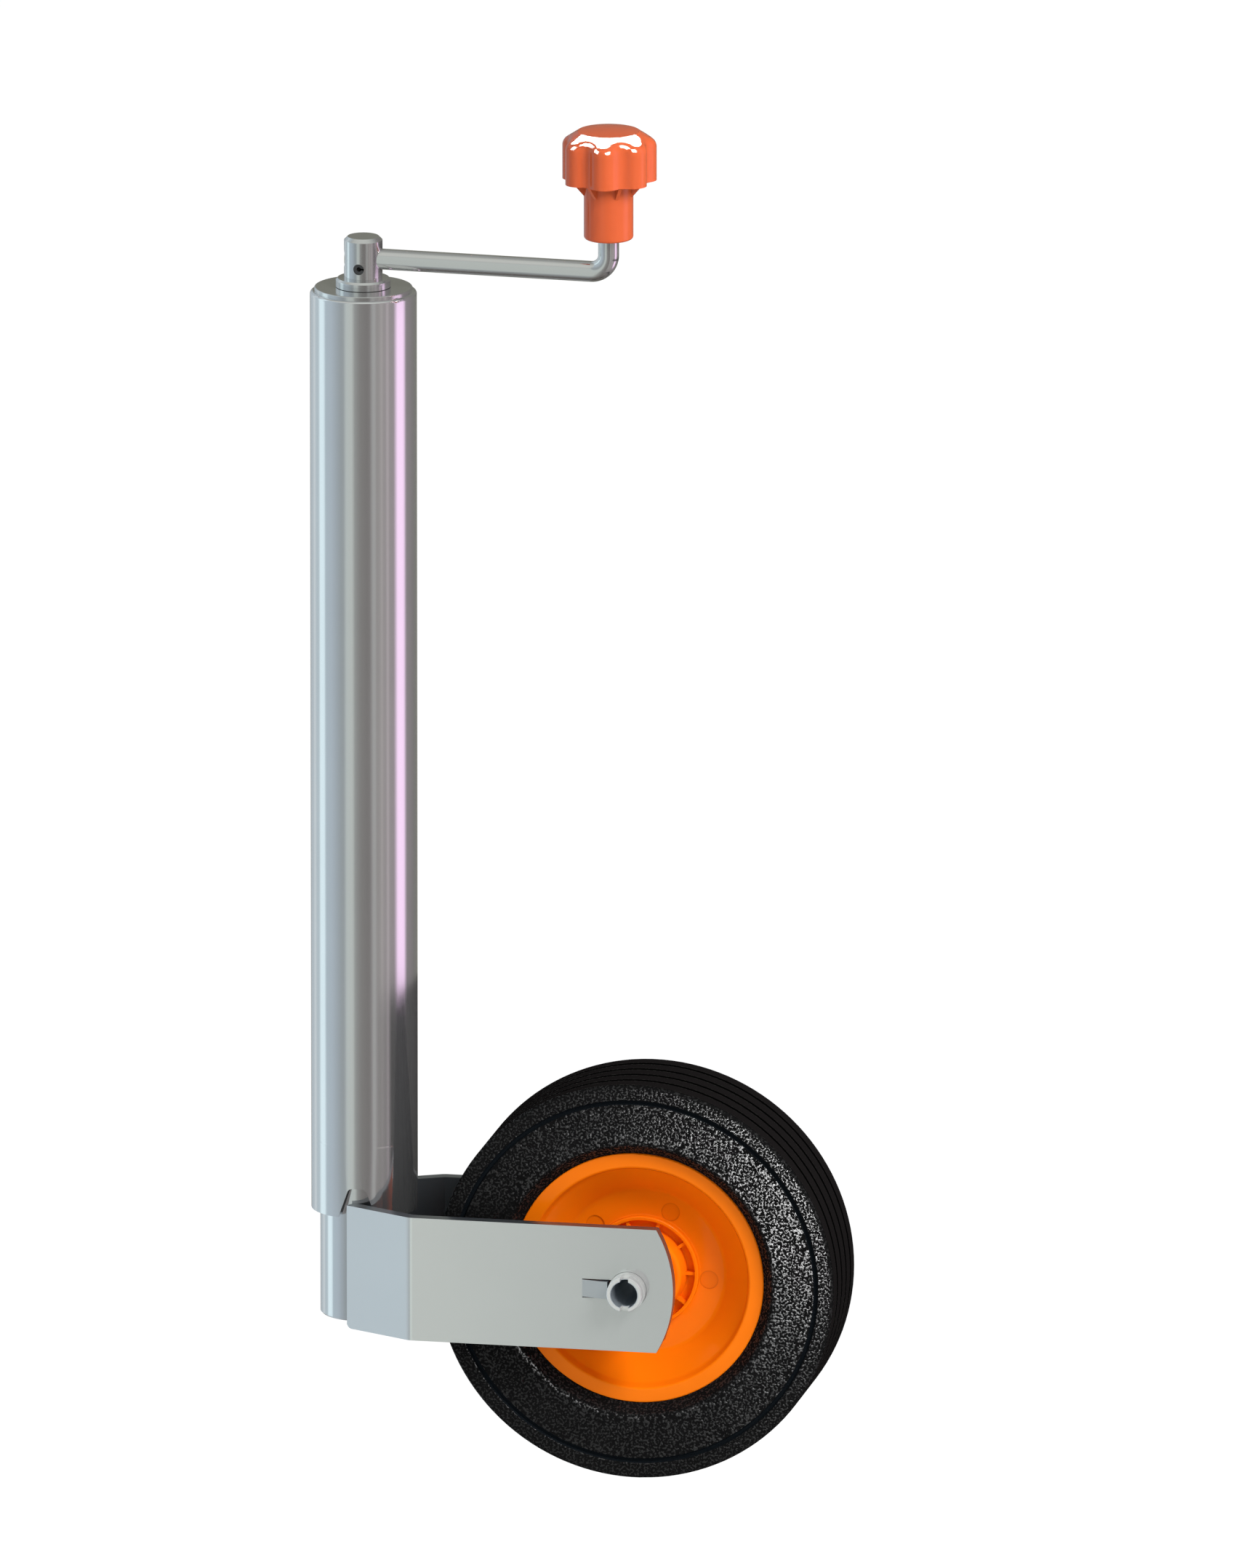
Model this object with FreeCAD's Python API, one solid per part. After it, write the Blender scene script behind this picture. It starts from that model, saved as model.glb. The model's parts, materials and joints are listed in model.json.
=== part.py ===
# Jockey wheel for a trailer drawbar: two telescoping tubes, a crank-driven spindle and a wheel in a fork.
# Millimetres. +Z is up, +X runs from the tubes towards the wheel, +Y is to the left.
# The origin lies on the tubes' axis, half-way up the outer tube, where a drawbar clamp holds it.
import FreeCAD, Part
import math
import os

Vector = FreeCAD.Vector
X_AXIS = Vector(1, 0, 0)
Y_AXIS = Vector(0, 1, 0)
Z_AXIS = Vector(0, 0, 1)

# Clearances, each on the radius or between two faces
SEAT = 0.05  # pieces pressed, pinned or moulded on each other
RUN = 0.08  # a shaft turning or sliding in its hole
PLAY = 0.2  # end play between faces that move past each other
OVERSHOOT = 1.0  # how far a cutting body stands out past the piece that it cuts

# Outer tube, with its rounded top edge
TUBE_OD = 48.0
TUBE_WALL = 3.0
TUBE_LENGTH = 424.0
TUBE_EDGE_ROUND = 2.2
GUIDE_MARK_WIDTH = 0.8  # the roller mark over the lower guide ring
GUIDE_MARK_DEPTH = 0.04

# Notches at the outer tube's foot, where the fork legs lock when the wheel is wound up
NOTCH_DEPTH = 13.7
NOTCH_SIDE_ANGLE = 19.5  # degrees from upright
NOTCH_CLEARANCE = 0.9  # in front of the leg, at the leg's top edge
NOTCH_CLEARANCE_BEHIND = 2.0  # and behind it
NOTCH_CORNER = 2.6

# Guide rings between the tubes
GUIDE_WALL = 0.87
LOWER_GUIDE_LENGTH = 30.0
UPPER_GUIDE_LENGTH = 22.0
GUIDE_ABOVE_NOTCH = 4.0

# Inner tube
INNER_WALL = 3.0
INNER_REACH = 49.0  # how far it stands out of the outer tube at rest
TUBE_CHAMFER = 0.8
INSIDE_CHAMFER = 1.0  # on the turned pieces inside the tubes

# Cap that closes the outer tube and carries the spindle
CAP_OD = 44.0
CAP_FLANGE = 1.8
CAP_PLUG = 14.0
CAP_PLUG_CHAMFER = 0.6
CAP_EDGE_ROUND = 0.5

# Spindle: head, journal in the cap, threaded shank, tail
HEAD_OD = 17.3
HEAD_HEIGHT = 19.0
HEAD_CHAMFER = 1.6
JOURNAL_OD = 15.0
SHANK_OD = 14.0
TAIL_OD = 10.0
TAIL_LENGTH = 14.0
THRUST_COLLAR_OD = 24.8
THRUST_COLLAR_HEIGHT = 3.9
THRUST_COLLAR_CHAMFER = 0.9
THRUST_WASHER_OD = 30.0
THRUST_WASHER_HEIGHT = 3.0
THRUST_WASHER_CHAMFER = 0.4
LOCK_COLLAR_OD = 26.0
LOCK_COLLAR_HEIGHT = 12.0
LOCK_COLLAR_CHAMFER = 0.8
LOCK_PIN_OD = 4.0
STOP_WASHER_HEIGHT = 4.0
STOP_WASHER_GAP = 1.0  # to the inner tube's wall
STOP_WASHER_CHAMFER = 0.5
STOP_PIN_OD = 3.0
STOP_PIN_LENGTH = 18.0

# Spindle travel
TRAVEL_DOWN = 240.0
TRAVEL_UP = 1.8
TOP_GAP = 4.0  # left above the nut when the wheel is wound right up

# Nut in the inner tube's top end
NUT_HEIGHT = 24.0
NUT_FLANGE_HEIGHT = 3.0

# Crank arm, bent from round bar
CRANK_TURN = -2.9  # degrees from straight ahead, turned to the right
ARM_OD = 9.4
ARM_HEIGHT_IN_HEAD = 8.9  # its axis above the head's lower end
ARM_REACH = 113.5  # spindle axis to the knob's axis
ARM_BEND = 8.0
ARM_END_RECESS = 1.0

# Two slotted spring pins, one inside the other, that hold the arm in the head
PIN_OD = 4.8
PIN_WALL = 0.8
INNER_PIN_WALL = 0.5
PIN_SLOT = 0.8
PIN_BELOW_ARM = 3.5
PIN_END_RECESS = 0.7

# Knob that turns on the arm's upright end
KNOB_ABOVE_ARM = 15.6  # knob's lower end above the arm's axis
NECK_OD = 22.2
NECK_LENGTH = 26.7
NECK_EDGE_ROUND = 1.4
STAR_OD = 43.2
STAR_LOBES = 7
STAR_LOBE_RADIUS = 6.5
STAR_FLUTE_RADIUS = 4.8
STAR_TURN = -82.7  # direction of the first lobe, in degrees from the arm
STAR_HEIGHT = 22.8
STAR_TOP_SLOPE = 33.0  # degrees
STAR_EDGE_ROUND = 4.6
STAR_WALL = 2.3
STAR_ROOF = 11.0  # thickness over the hollow underside
STAR_RIB = 1.5
STAR_RIB_DROP = 6.8  # how far each rib runs down the neck
KNOB_CAP_OD = 27.6
KNOB_CAP_THICKNESS = 2.0
KNOB_CAP_CROWN = 0.9
KNOB_CAP_PLUG = 5.0
KNOB_CAP_PLUG_WALL = 1.5
CLIP_CHAMBER_OD = 21.0
CLIP_OD = 17.0
CLIP_THICKNESS = 1.2
ARM_END_ABOVE_CLIP = 2.6
CLIP_SHELF = 32.0  # shelf that the clip rests on, above the knob's lower end

# Fork: two folded plates welded to the inner tube
PLATE = 5.5
LEG_HEIGHT = 57.0
LEG_RISE = 6.0  # how far a leg reaches up into its notch at rest
LEG_START = -0.8  # inner corner against the tube, forward of its axis
LEG_BITE = 0.9  # how deep that corner would lie in the tube before it is trimmed round
FOLD_X = 29.8
FOLD_INNER_RADIUS = 1.0
LEG_CORNER_X = 142.0
LEG_TIP_BULGE = 7.7
LEG_CORNER_ROUND = 2.5
TONGUE_HEIGHT = 7.9
TONGUE_LENGTH = 12.0
TONGUE_LIFT = 2.7
TONGUE_GAP = 0.4
WELD_SIDE = 6.0
WELD_END_GAP = 6.0

# Axle: a tube with a slotted collar at each end, set off by a groove
AXLE_X = 129.0
AXLE_OD = 17.0
AXLE_WALL = 2.4
AXLE_STAND_OUT = 8.8
AXLE_END_OD = 16.2
AXLE_END_LENGTH = 4.4
AXLE_EDGE_ROUND = 0.4
AXLE_GROOVE_OD = 15.0
AXLE_GROOVE_WIDTH = 0.8
AXLE_SLOT_WIDTH = 3.8
AXLE_SLOT_DEPTH = 4.4
AXLE_HOLE_GAP = 0.1

# Hub bushes and spacers
BUSH_WALL = 1.6
BUSH_LENGTH = 24.0
BUSH_FLANGE_OD = 27.0
BUSH_FLANGE = 2.0
SPACER_OD = 26.0
SPACER_WIDTH = 3.3
HUB_EDGE_ROUND = 0.5  # on the bushes and spacers

# Rim: one moulding, made as a hub disc and an outer ring that meet in the flat web
HUB_DISC_RADIUS = 35.2
HUB_HALF_WIDTH = 29.0
HUB_OD = 29.0
MOULD_ROUND = 0.6  # the small rounds of the moulding
BOSS_ROUND = 2.0
BOSS_ROOT_RADIUS = 20.0
BOSS_TOP_RADIUS = 18.6
BOSS_TOP = 12.5
LIP_OUTER_RADIUS = 25.6
LIP_WIDTH = 1.6
LIP_TOP = 6.4
GROOVE_RIBS = 10
GROOVE_RIB_WIDTH = 1.4
GROOVE_RIB_TOP = 5.4
WEB_HALF = 3.1
GROOVE_HALF = 2.2
DISH_FOOT_RADIUS = 37.6
DISH_FOOT_ROUND = 4.0
DISH_SHOULDER_IN = 1.6  # the dish's upper corner, inwards of the flange
DISH_SHOULDER_DROP = 4.2  # and below the flange's face
DISH_SHOULDER_ROUND = 3.0
DISH_WALL = 3.2
FLANGE_INNER_RADIUS = 51.2
FLANGE_OUTER_RADIUS = 57.8
FLANGE_FACE = 18.0
FLANGE_THICKNESS = 3.0
FLANGE_INNER_ROUND = 1.2
CHANNEL_ROUND = 2.5
TYRE_SEAT_IN = 1.6  # the slope that carries the tyre, inwards under the flange
TYRE_SEAT_DROP = 3.5
TYRE_SEAT_ROUND = 2.0
MARK_COUNT = 5
MARK_RADIUS = 4.1
MARK_CIRCLE = 30.0
MARK_DEPTH = 0.4
MARK_TURN = 66.0

# Tyre, solid rubber
TYRE_RADIUS = 91.2
TYRE_HALF_WIDTH = 25.2
TYRE_SHOULDER_ROUND = 1.6
SIDE_WALL_RISE = 5.0  # from the rim out to where the side wall turns flat
SIDE_WALL_STEP = 1.6  # how far it lies behind the shoulder ring there
SIDE_WALL_ROUND = 3.0
SIDE_WALL_SET_BACK = 0.6  # how far it lies behind the shoulder ring beside the groove
SIDE_GROOVE_SLOPE = 0.5
SIDE_RING_WIDTH = 7.0
SIDE_GROOVE_WIDTH = 2.2
SIDE_GROOVE_DEPTH = 1.0
TREAD_GROOVES = 4
TREAD_GROOVE_WIDTH = 1.2
TREAD_GROOVE_DEPTH = 1.5
BEAD_STEP = 0.8  # rubber stands this far off the rim's flange

# Places that follow from the sizes above
TUBE_RADIUS = TUBE_OD / 2
TUBE_BORE = TUBE_RADIUS - TUBE_WALL
TUBE_TOP = TUBE_LENGTH / 2
TUBE_FOOT = -TUBE_LENGTH / 2
INNER_RADIUS = TUBE_BORE - SEAT - GUIDE_WALL - RUN
INNER_BORE = INNER_RADIUS - INNER_WALL
INNER_FOOT = TUBE_FOOT - INNER_REACH
CAP_TOP = TUBE_TOP + CAP_FLANGE
CAP_FOOT = TUBE_TOP - CAP_PLUG
COLLAR_TOP = CAP_TOP + PLAY + THRUST_COLLAR_HEIGHT
HEAD_TOP = COLLAR_TOP + HEAD_HEIGHT
WASHER_FOOT = CAP_FOOT - PLAY - THRUST_WASHER_HEIGHT
LOCK_COLLAR_FOOT = WASHER_FOOT - LOCK_COLLAR_HEIGHT
NUT_TOP = LOCK_COLLAR_FOOT - TOP_GAP - TRAVEL_UP
INNER_TOP = NUT_TOP - NUT_FLANGE_HEIGHT
NUT_FOOT = INNER_TOP - NUT_HEIGHT
UPPER_GUIDE_TOP = INNER_TOP
STOP_WASHER_TOP = NUT_FOOT - TRAVEL_DOWN - PLAY
STOP_WASHER_FOOT = STOP_WASHER_TOP - STOP_WASHER_HEIGHT
SPINDLE_FOOT = STOP_WASHER_TOP - TAIL_LENGTH
LOWER_GUIDE_FOOT = TUBE_FOOT + NOTCH_DEPTH + GUIDE_ABOVE_NOTCH
GUIDE_MARK_Z = LOWER_GUIDE_FOOT + LOWER_GUIDE_LENGTH / 2
ARM_Z = COLLAR_TOP + ARM_HEIGHT_IN_HEAD
PIN_Z = ARM_Z - PIN_BELOW_ARM
KNOB_FOOT = ARM_Z + KNOB_ABOVE_ARM
STAR_FOOT = KNOB_FOOT + NECK_LENGTH
STAR_TOP = STAR_FOOT + STAR_HEIGHT
CLIP_FOOT = KNOB_FOOT + CLIP_SHELF + PLAY
CAP_RECESS_FLOOR = STAR_TOP - KNOB_CAP_THICKNESS
ARM_TOP = CLIP_FOOT + CLIP_THICKNESS + ARM_END_ABOVE_CLIP
LEG_TOP = TUBE_FOOT + LEG_RISE
LEG_FOOT = LEG_TOP - LEG_HEIGHT
AXLE_Z = (LEG_TOP + LEG_FOOT) / 2
BUSH_FACE = HUB_HALF_WIDTH + BUSH_FLANGE
FORK_INNER = BUSH_FACE + PLAY + SPACER_WIDTH
FORK_OUTER = FORK_INNER + PLATE
AXLE_HALF = FORK_OUTER + AXLE_STAND_OUT
AXLE_RADIUS = AXLE_OD / 2
HUB_BORE = AXLE_RADIUS + RUN + BUSH_WALL + SEAT
FLARE = math.atan2(FORK_INNER - (INNER_RADIUS - LEG_BITE), FOLD_X - LEG_START)
WHEEL_CENTRE = Vector(AXLE_X, 0, AXLE_Z)


def outline(corners, place):
    """A closed wire through corners (u, v) or (u, v, radius), with a tangent arc at each radius."""
    points = [Vector(c[0], c[1], 0) for c in corners]
    rounds = [c[2] if len(c) > 2 else 0.0 for c in corners]
    ends = []
    for i, corner in enumerate(points):
        before = points[i - 1] - corner
        after = points[(i + 1) % len(points)] - corner
        if not rounds[i]:
            ends.append((corner, None, corner))
            continue
        half = before.getAngle(after) / 2
        reach = min(rounds[i] / math.tan(half), 0.49 * before.Length, 0.49 * after.Length)
        radius = reach * math.tan(half)
        before.normalize()
        after.normalize()
        inward = (before + after).normalize()
        middle = corner + inward * (radius / math.sin(half) - radius)
        ends.append((corner + before * reach, middle, corner + after * reach))
    edges = []
    for i, (start, middle, end) in enumerate(ends):
        if middle is not None:
            edges.append(Part.Arc(*[place(p.x, p.y) for p in (start, middle, end)]).toShape())
        following = ends[(i + 1) % len(ends)][0]
        if end.distanceToPoint(following) > 1e-6:
            edges.append(Part.LineSegment(place(end.x, end.y), place(following.x, following.y)).toShape())
    return Part.Wire(edges)


def turned(corners):
    """A solid of revolution about Z, from a closed outline of (radius, height) corners."""
    face = Part.Face(outline(corners, lambda u, v: Vector(u, 0, v)))
    return face.revolve(Vector(0, 0, 0), Z_AXIS, 360)


def turned_on_axle(corners):
    """A solid of revolution about the axle, from an outline of (radius, distance to the left) corners."""
    shape = turned(corners)
    shape.rotate(Vector(0, 0, 0), X_AXIS, -90)
    shape.translate(WHEEL_CENTRE)
    return shape


def ring(outer, inner, foot, top, chamfer=0.0):
    """A round ring about Z, with its outer edges chamfered."""
    return turned([
        (inner, foot),
        (outer - chamfer, foot),
        (outer, foot + chamfer),
        (outer, top - chamfer),
        (outer - chamfer, top),
        (inner, top),
    ] if chamfer else [(inner, foot), (outer, foot), (outer, top), (inner, top)])


def rod(radius, start, end):
    """A round bar between two points."""
    return Part.makeCylinder(radius, (end - start).Length, start, end - start)


def block(low, high):
    """A box between two opposite corners."""
    size = high - low
    return Part.makeBox(size.x, size.y, size.z, low)


def mirrored(shape):
    """The same piece on the other side of the wheel's middle plane."""
    return shape.mirror(Vector(0, 0, 0), Y_AXIS)


def leg_plan():
    """Corners of the left leg seen from above: a flared run from the tube, a fold, then a straight run."""
    tip = LEG_CORNER_X + LEG_TIP_BULGE + OVERSHOOT
    start = Vector(LEG_START, INNER_RADIUS - LEG_BITE, 0)
    across = Vector(-math.sin(FLARE), math.cos(FLARE), 0) * PLATE
    outer_start = start + across
    outer_fold_x = FOLD_X - PLATE * math.tan(FLARE / 2)
    return [
        (start.x, start.y),
        (FOLD_X, FORK_INNER, FOLD_INNER_RADIUS),
        (tip, FORK_INNER),
        (tip, FORK_OUTER),
        (outer_fold_x, FORK_OUTER, FOLD_INNER_RADIUS + PLATE),
        (outer_start.x, outer_start.y),
    ]


def notch_centre_and_half_width():
    """Where the leg crosses the outer tube's wall along X, with clearance: the middle and half the width."""
    start = Vector(LEG_START, INNER_RADIUS - LEG_BITE, 0)
    along = Vector(math.cos(FLARE), math.sin(FLARE), 0)
    dot = start.dot(along)
    leaves = -dot + math.sqrt(dot * dot - start.dot(start) + TUBE_RADIUS ** 2)
    front = start.x + along.x * leaves + NOTCH_CLEARANCE
    back = leg_plan()[-1][0] - NOTCH_CLEARANCE_BEHIND
    return (back + front) / 2, (front - back) / 2


def outer_tube():
    tube = turned([
        (TUBE_BORE, TUBE_FOOT),
        (TUBE_RADIUS, TUBE_FOOT),
        (TUBE_RADIUS, GUIDE_MARK_Z - GUIDE_MARK_WIDTH / 2),
        (TUBE_RADIUS - GUIDE_MARK_DEPTH, GUIDE_MARK_Z),
        (TUBE_RADIUS, GUIDE_MARK_Z + GUIDE_MARK_WIDTH / 2),
        (TUBE_RADIUS, TUBE_TOP, TUBE_EDGE_ROUND),
        (TUBE_BORE, TUBE_TOP),
    ])
    centre, half = notch_centre_and_half_width()
    lean = math.tan(math.radians(NOTCH_SIDE_ANGLE))
    below = TUBE_FOOT - OVERSHOOT
    foot_half = half + (LEG_TOP - below) * lean
    top_half = half - (TUBE_FOOT + NOTCH_DEPTH - LEG_TOP) * lean
    corners = [
        (centre - foot_half, below),
        (centre + foot_half, below),
        (centre + top_half, TUBE_FOOT + NOTCH_DEPTH, NOTCH_CORNER),
        (centre - top_half, TUBE_FOOT + NOTCH_DEPTH, NOTCH_CORNER),
    ]
    face = Part.Face(outline(corners, lambda u, v: Vector(u, -TUBE_OD, v)))
    return tube.cut(face.extrude(Y_AXIS * (2 * TUBE_OD)))


def top_cap():
    return turned([
        (JOURNAL_OD / 2 + RUN, CAP_FOOT),
        (TUBE_BORE - SEAT - CAP_PLUG_CHAMFER, CAP_FOOT),
        (TUBE_BORE - SEAT, CAP_FOOT + CAP_PLUG_CHAMFER),
        (TUBE_BORE - SEAT, TUBE_TOP),
        (CAP_OD / 2, TUBE_TOP),
        (CAP_OD / 2, CAP_TOP, CAP_EDGE_ROUND),
        (JOURNAL_OD / 2 + RUN, CAP_TOP),
    ])


def lower_guide():
    top = LOWER_GUIDE_FOOT + LOWER_GUIDE_LENGTH
    return ring(TUBE_BORE - SEAT, INNER_RADIUS + RUN, LOWER_GUIDE_FOOT, top)


def upper_guide():
    foot = UPPER_GUIDE_TOP - UPPER_GUIDE_LENGTH
    return ring(TUBE_BORE - RUN, INNER_RADIUS + SEAT, foot, UPPER_GUIDE_TOP)


def inner_tube():
    return turned([
        (INNER_BORE, INNER_FOOT),
        (INNER_RADIUS - TUBE_CHAMFER, INNER_FOOT),
        (INNER_RADIUS, INNER_FOOT + TUBE_CHAMFER),
        (INNER_RADIUS, INNER_TOP),
        (INNER_BORE, INNER_TOP),
    ])


def spindle_nut():
    """A round nut in the inner tube's end, with a flange that centres it in the outer tube."""
    return turned([
        (SHANK_OD / 2 + RUN, NUT_FOOT),
        (INNER_BORE - SEAT - INSIDE_CHAMFER, NUT_FOOT),
        (INNER_BORE - SEAT, NUT_FOOT + INSIDE_CHAMFER),
        (INNER_BORE - SEAT, INNER_TOP),
        (TUBE_BORE - PLAY, INNER_TOP),
        (TUBE_BORE - PLAY, NUT_TOP),
        (SHANK_OD / 2 + RUN + INSIDE_CHAMFER, NUT_TOP),
        (SHANK_OD / 2 + RUN, NUT_TOP - INSIDE_CHAMFER),
    ])


def spindle():
    shape = turned([
        (0, SPINDLE_FOOT),
        (TAIL_OD / 2 - INSIDE_CHAMFER, SPINDLE_FOOT),
        (TAIL_OD / 2, SPINDLE_FOOT + INSIDE_CHAMFER),
        (TAIL_OD / 2, STOP_WASHER_TOP),
        (SHANK_OD / 2, STOP_WASHER_TOP),
        (SHANK_OD / 2, LOCK_COLLAR_FOOT - INSIDE_CHAMFER),
        (JOURNAL_OD / 2, LOCK_COLLAR_FOOT),
        (JOURNAL_OD / 2, COLLAR_TOP),
        (HEAD_OD / 2, COLLAR_TOP),
        (HEAD_OD / 2, HEAD_TOP - HEAD_CHAMFER),
        (HEAD_OD / 2 - HEAD_CHAMFER, HEAD_TOP),
        (0, HEAD_TOP),
    ])
    arm_hole = rod(ARM_OD / 2 + SEAT, Vector(-HEAD_OD, 0, ARM_Z), Vector(HEAD_OD, 0, ARM_Z))
    pin_hole = rod(PIN_OD / 2 + SEAT, Vector(0, -HEAD_OD, PIN_Z), Vector(0, HEAD_OD, PIN_Z))
    lock_hole = lock_pin_bar(LOCK_PIN_OD / 2 + SEAT, LOCK_COLLAR_OD)
    stop_hole = stop_pin_bar(STOP_PIN_OD / 2 + SEAT, TAIL_OD * 2)
    return shape.cut([arm_hole, pin_hole, lock_hole, stop_hole])


def thrust_collar():
    """The polished washer between the spindle's head and the cap."""
    foot = CAP_TOP + PLAY
    outer = THRUST_COLLAR_OD / 2
    return turned([
        (JOURNAL_OD / 2 + SEAT, foot),
        (outer, foot),
        (outer, COLLAR_TOP - THRUST_COLLAR_CHAMFER),
        (outer - THRUST_COLLAR_CHAMFER, COLLAR_TOP),
        (JOURNAL_OD / 2 + SEAT, COLLAR_TOP),
    ])


def thrust_washer():
    top = WASHER_FOOT + THRUST_WASHER_HEIGHT
    return ring(THRUST_WASHER_OD / 2, JOURNAL_OD / 2 + SEAT, WASHER_FOOT, top, THRUST_WASHER_CHAMFER)


def lock_pin_bar(radius, length):
    z = LOCK_COLLAR_FOOT + LOCK_COLLAR_HEIGHT / 2
    return rod(radius, Vector(-length / 2, 0, z), Vector(length / 2, 0, z))


def lock_collar():
    """The collar pinned to the spindle under the cap, which bears on the washer."""
    outer = LOCK_COLLAR_OD / 2
    collar = ring(outer, JOURNAL_OD / 2 + SEAT, LOCK_COLLAR_FOOT, WASHER_FOOT, LOCK_COLLAR_CHAMFER)
    return collar.cut(lock_pin_bar(LOCK_PIN_OD / 2 + SEAT, LOCK_COLLAR_OD * 2))


def lock_pin():
    return lock_pin_bar(LOCK_PIN_OD / 2, LOCK_COLLAR_OD - 1)


def stop_pin_bar(radius, length):
    z = STOP_WASHER_FOOT - STOP_PIN_OD / 2 - SEAT * 2
    return rod(radius, Vector(-length / 2, 0, z), Vector(length / 2, 0, z))


def stop_washer():
    """The washer at the spindle's lower end that stops the nut and centres the spindle."""
    outer = INNER_BORE - STOP_WASHER_GAP
    return ring(outer, TAIL_OD / 2 + SEAT, STOP_WASHER_FOOT, STOP_WASHER_TOP, STOP_WASHER_CHAMFER)


def stop_pin():
    return stop_pin_bar(STOP_PIN_OD / 2, STOP_PIN_LENGTH)


def crank_arm():
    """Round bar: level from the head, one tight bend, then upright into the knob."""
    start = Vector(ARM_END_RECESS - HEAD_OD / 2, 0, ARM_Z)
    bend_start = Vector(ARM_REACH - ARM_BEND, 0, ARM_Z)
    bend_end = Vector(ARM_REACH, 0, ARM_Z + ARM_BEND)
    turn = ARM_BEND * math.sin(math.radians(45))
    bend_middle = Vector(bend_start.x + turn, 0, bend_end.z - turn)
    top = Vector(ARM_REACH, 0, ARM_TOP)
    path = Part.Wire([
        Part.LineSegment(start, bend_start).toShape(),
        Part.Arc(bend_start, bend_middle, bend_end).toShape(),
        Part.LineSegment(bend_end, top).toShape(),
    ])
    section = Part.Wire(Part.makeCircle(ARM_OD / 2, start, X_AXIS))
    arm = path.makePipeShell([section], True, True)
    pin_groove = rod(PIN_OD / 2 + SEAT, Vector(0, -ARM_OD, PIN_Z), Vector(0, ARM_OD, PIN_Z))
    return arm.cut(pin_groove)


def spring_pin(outer, wall):
    """A rolled pin along Y with its slot towards the wheel."""
    reach = HEAD_OD / 2 - PIN_END_RECESS
    ends = Vector(0, -reach, PIN_Z), Vector(0, reach, PIN_Z)
    pin = rod(outer, *ends).cut(rod(outer - wall, *ends))
    slot = block(
        Vector(0, -reach - OVERSHOOT, PIN_Z - PIN_SLOT / 2),
        Vector(outer + OVERSHOOT, reach + OVERSHOOT, PIN_Z + PIN_SLOT / 2),
    )
    return pin.cut(slot)


def arm_pin_outer():
    return spring_pin(PIN_OD / 2, PIN_WALL)


def arm_pin_inner():
    return spring_pin(PIN_OD / 2 - PIN_WALL - SEAT, INNER_PIN_WALL)


def grip_clip():
    """The push-on washer on the arm's end that keeps the knob on."""
    clip = ring(CLIP_OD / 2, ARM_OD / 2 + SEAT, CLIP_FOOT, CLIP_FOOT + CLIP_THICKNESS)
    clip.translate(Vector(ARM_REACH, 0, 0))
    return clip


def star(inset, foot, top):
    """The knob's lobed prism: lobe arcs joined to flute arcs with no corner, moved in by the inset."""
    lobe = STAR_LOBE_RADIUS - inset
    flute = STAR_FLUTE_RADIUS + inset
    lobe_centre = STAR_OD / 2 - STAR_LOBE_RADIUS
    step = math.pi / STAR_LOBES
    sideways = lobe_centre * math.sin(step)
    flute_centre = lobe_centre * math.cos(step) + math.sqrt((lobe + flute) ** 2 - sideways ** 2)

    def at(distance, angle):
        return Vector(distance * math.cos(angle), distance * math.sin(angle), foot)

    edges = []
    for i in range(STAR_LOBES):
        angle = math.radians(STAR_TURN) + 2 * step * i
        centre = at(lobe_centre, angle)
        share = lobe / (lobe + flute)
        start = centre + (at(flute_centre, angle - step) - centre) * share
        end = centre + (at(flute_centre, angle + step) - centre) * share
        next_start = at(lobe_centre, angle + 2 * step)
        next_start = next_start + (at(flute_centre, angle + step) - next_start) * share
        edges.append(Part.Arc(start, at(lobe_centre + lobe, angle), end).toShape())
        edges.append(Part.Arc(end, at(flute_centre - flute, angle + step), next_start).toShape())
    return Part.Face(Part.Wire(edges)).extrude(Z_AXIS * (top - foot))


def on_star_shoulder(edge):
    """Whether an edge is one of those where the star's side meets its sloping top."""
    box = edge.BoundBox
    between = box.ZMin > STAR_FOOT + OVERSHOOT and box.ZMax < STAR_TOP - OVERSHOOT / 2
    upright = box.ZLength > 0.6 * edge.Length
    return between and not upright and edge.Length > STAR_WALL


def knob():
    cap_radius = KNOB_CAP_OD / 2
    outer = STAR_OD / 2 + OVERSHOOT
    slope = math.tan(math.radians(STAR_TOP_SLOPE))
    dome = turned([
        (0, STAR_FOOT - OVERSHOOT),
        (outer, STAR_FOOT - OVERSHOOT),
        (outer, STAR_TOP - (outer - cap_radius) * slope),
        (cap_radius, STAR_TOP),
        (0, STAR_TOP),
    ])
    head = star(0, STAR_FOOT, STAR_TOP).common(dome)
    head = head.makeFillet(STAR_EDGE_ROUND, [edge for edge in head.Edges if on_star_shoulder(edge)])
    head = head.cut(star(STAR_WALL, STAR_FOOT - OVERSHOOT, STAR_TOP - STAR_ROOF))
    neck = turned([
        (0, KNOB_FOOT),
        (NECK_OD / 2, KNOB_FOOT, NECK_EDGE_ROUND),
        (NECK_OD / 2, STAR_TOP - STAR_ROOF + OVERSHOOT),
        (0, STAR_TOP - STAR_ROOF + OVERSHOOT),
    ])
    body = head.fuse([neck] + knob_ribs())
    above = Vector(0, 0, STAR_TOP + OVERSHOOT)
    bore = rod(ARM_OD / 2 + RUN, Vector(0, 0, KNOB_FOOT - OVERSHOOT), above)
    chamber = rod(CLIP_CHAMBER_OD / 2, Vector(0, 0, KNOB_FOOT + CLIP_SHELF), above)
    recess = rod(cap_radius + SEAT, Vector(0, 0, CAP_RECESS_FLOOR), above)
    body = body.cut([bore, chamber, recess]).removeSplitter()
    body.translate(Vector(ARM_REACH, 0, 0))
    return body


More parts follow.
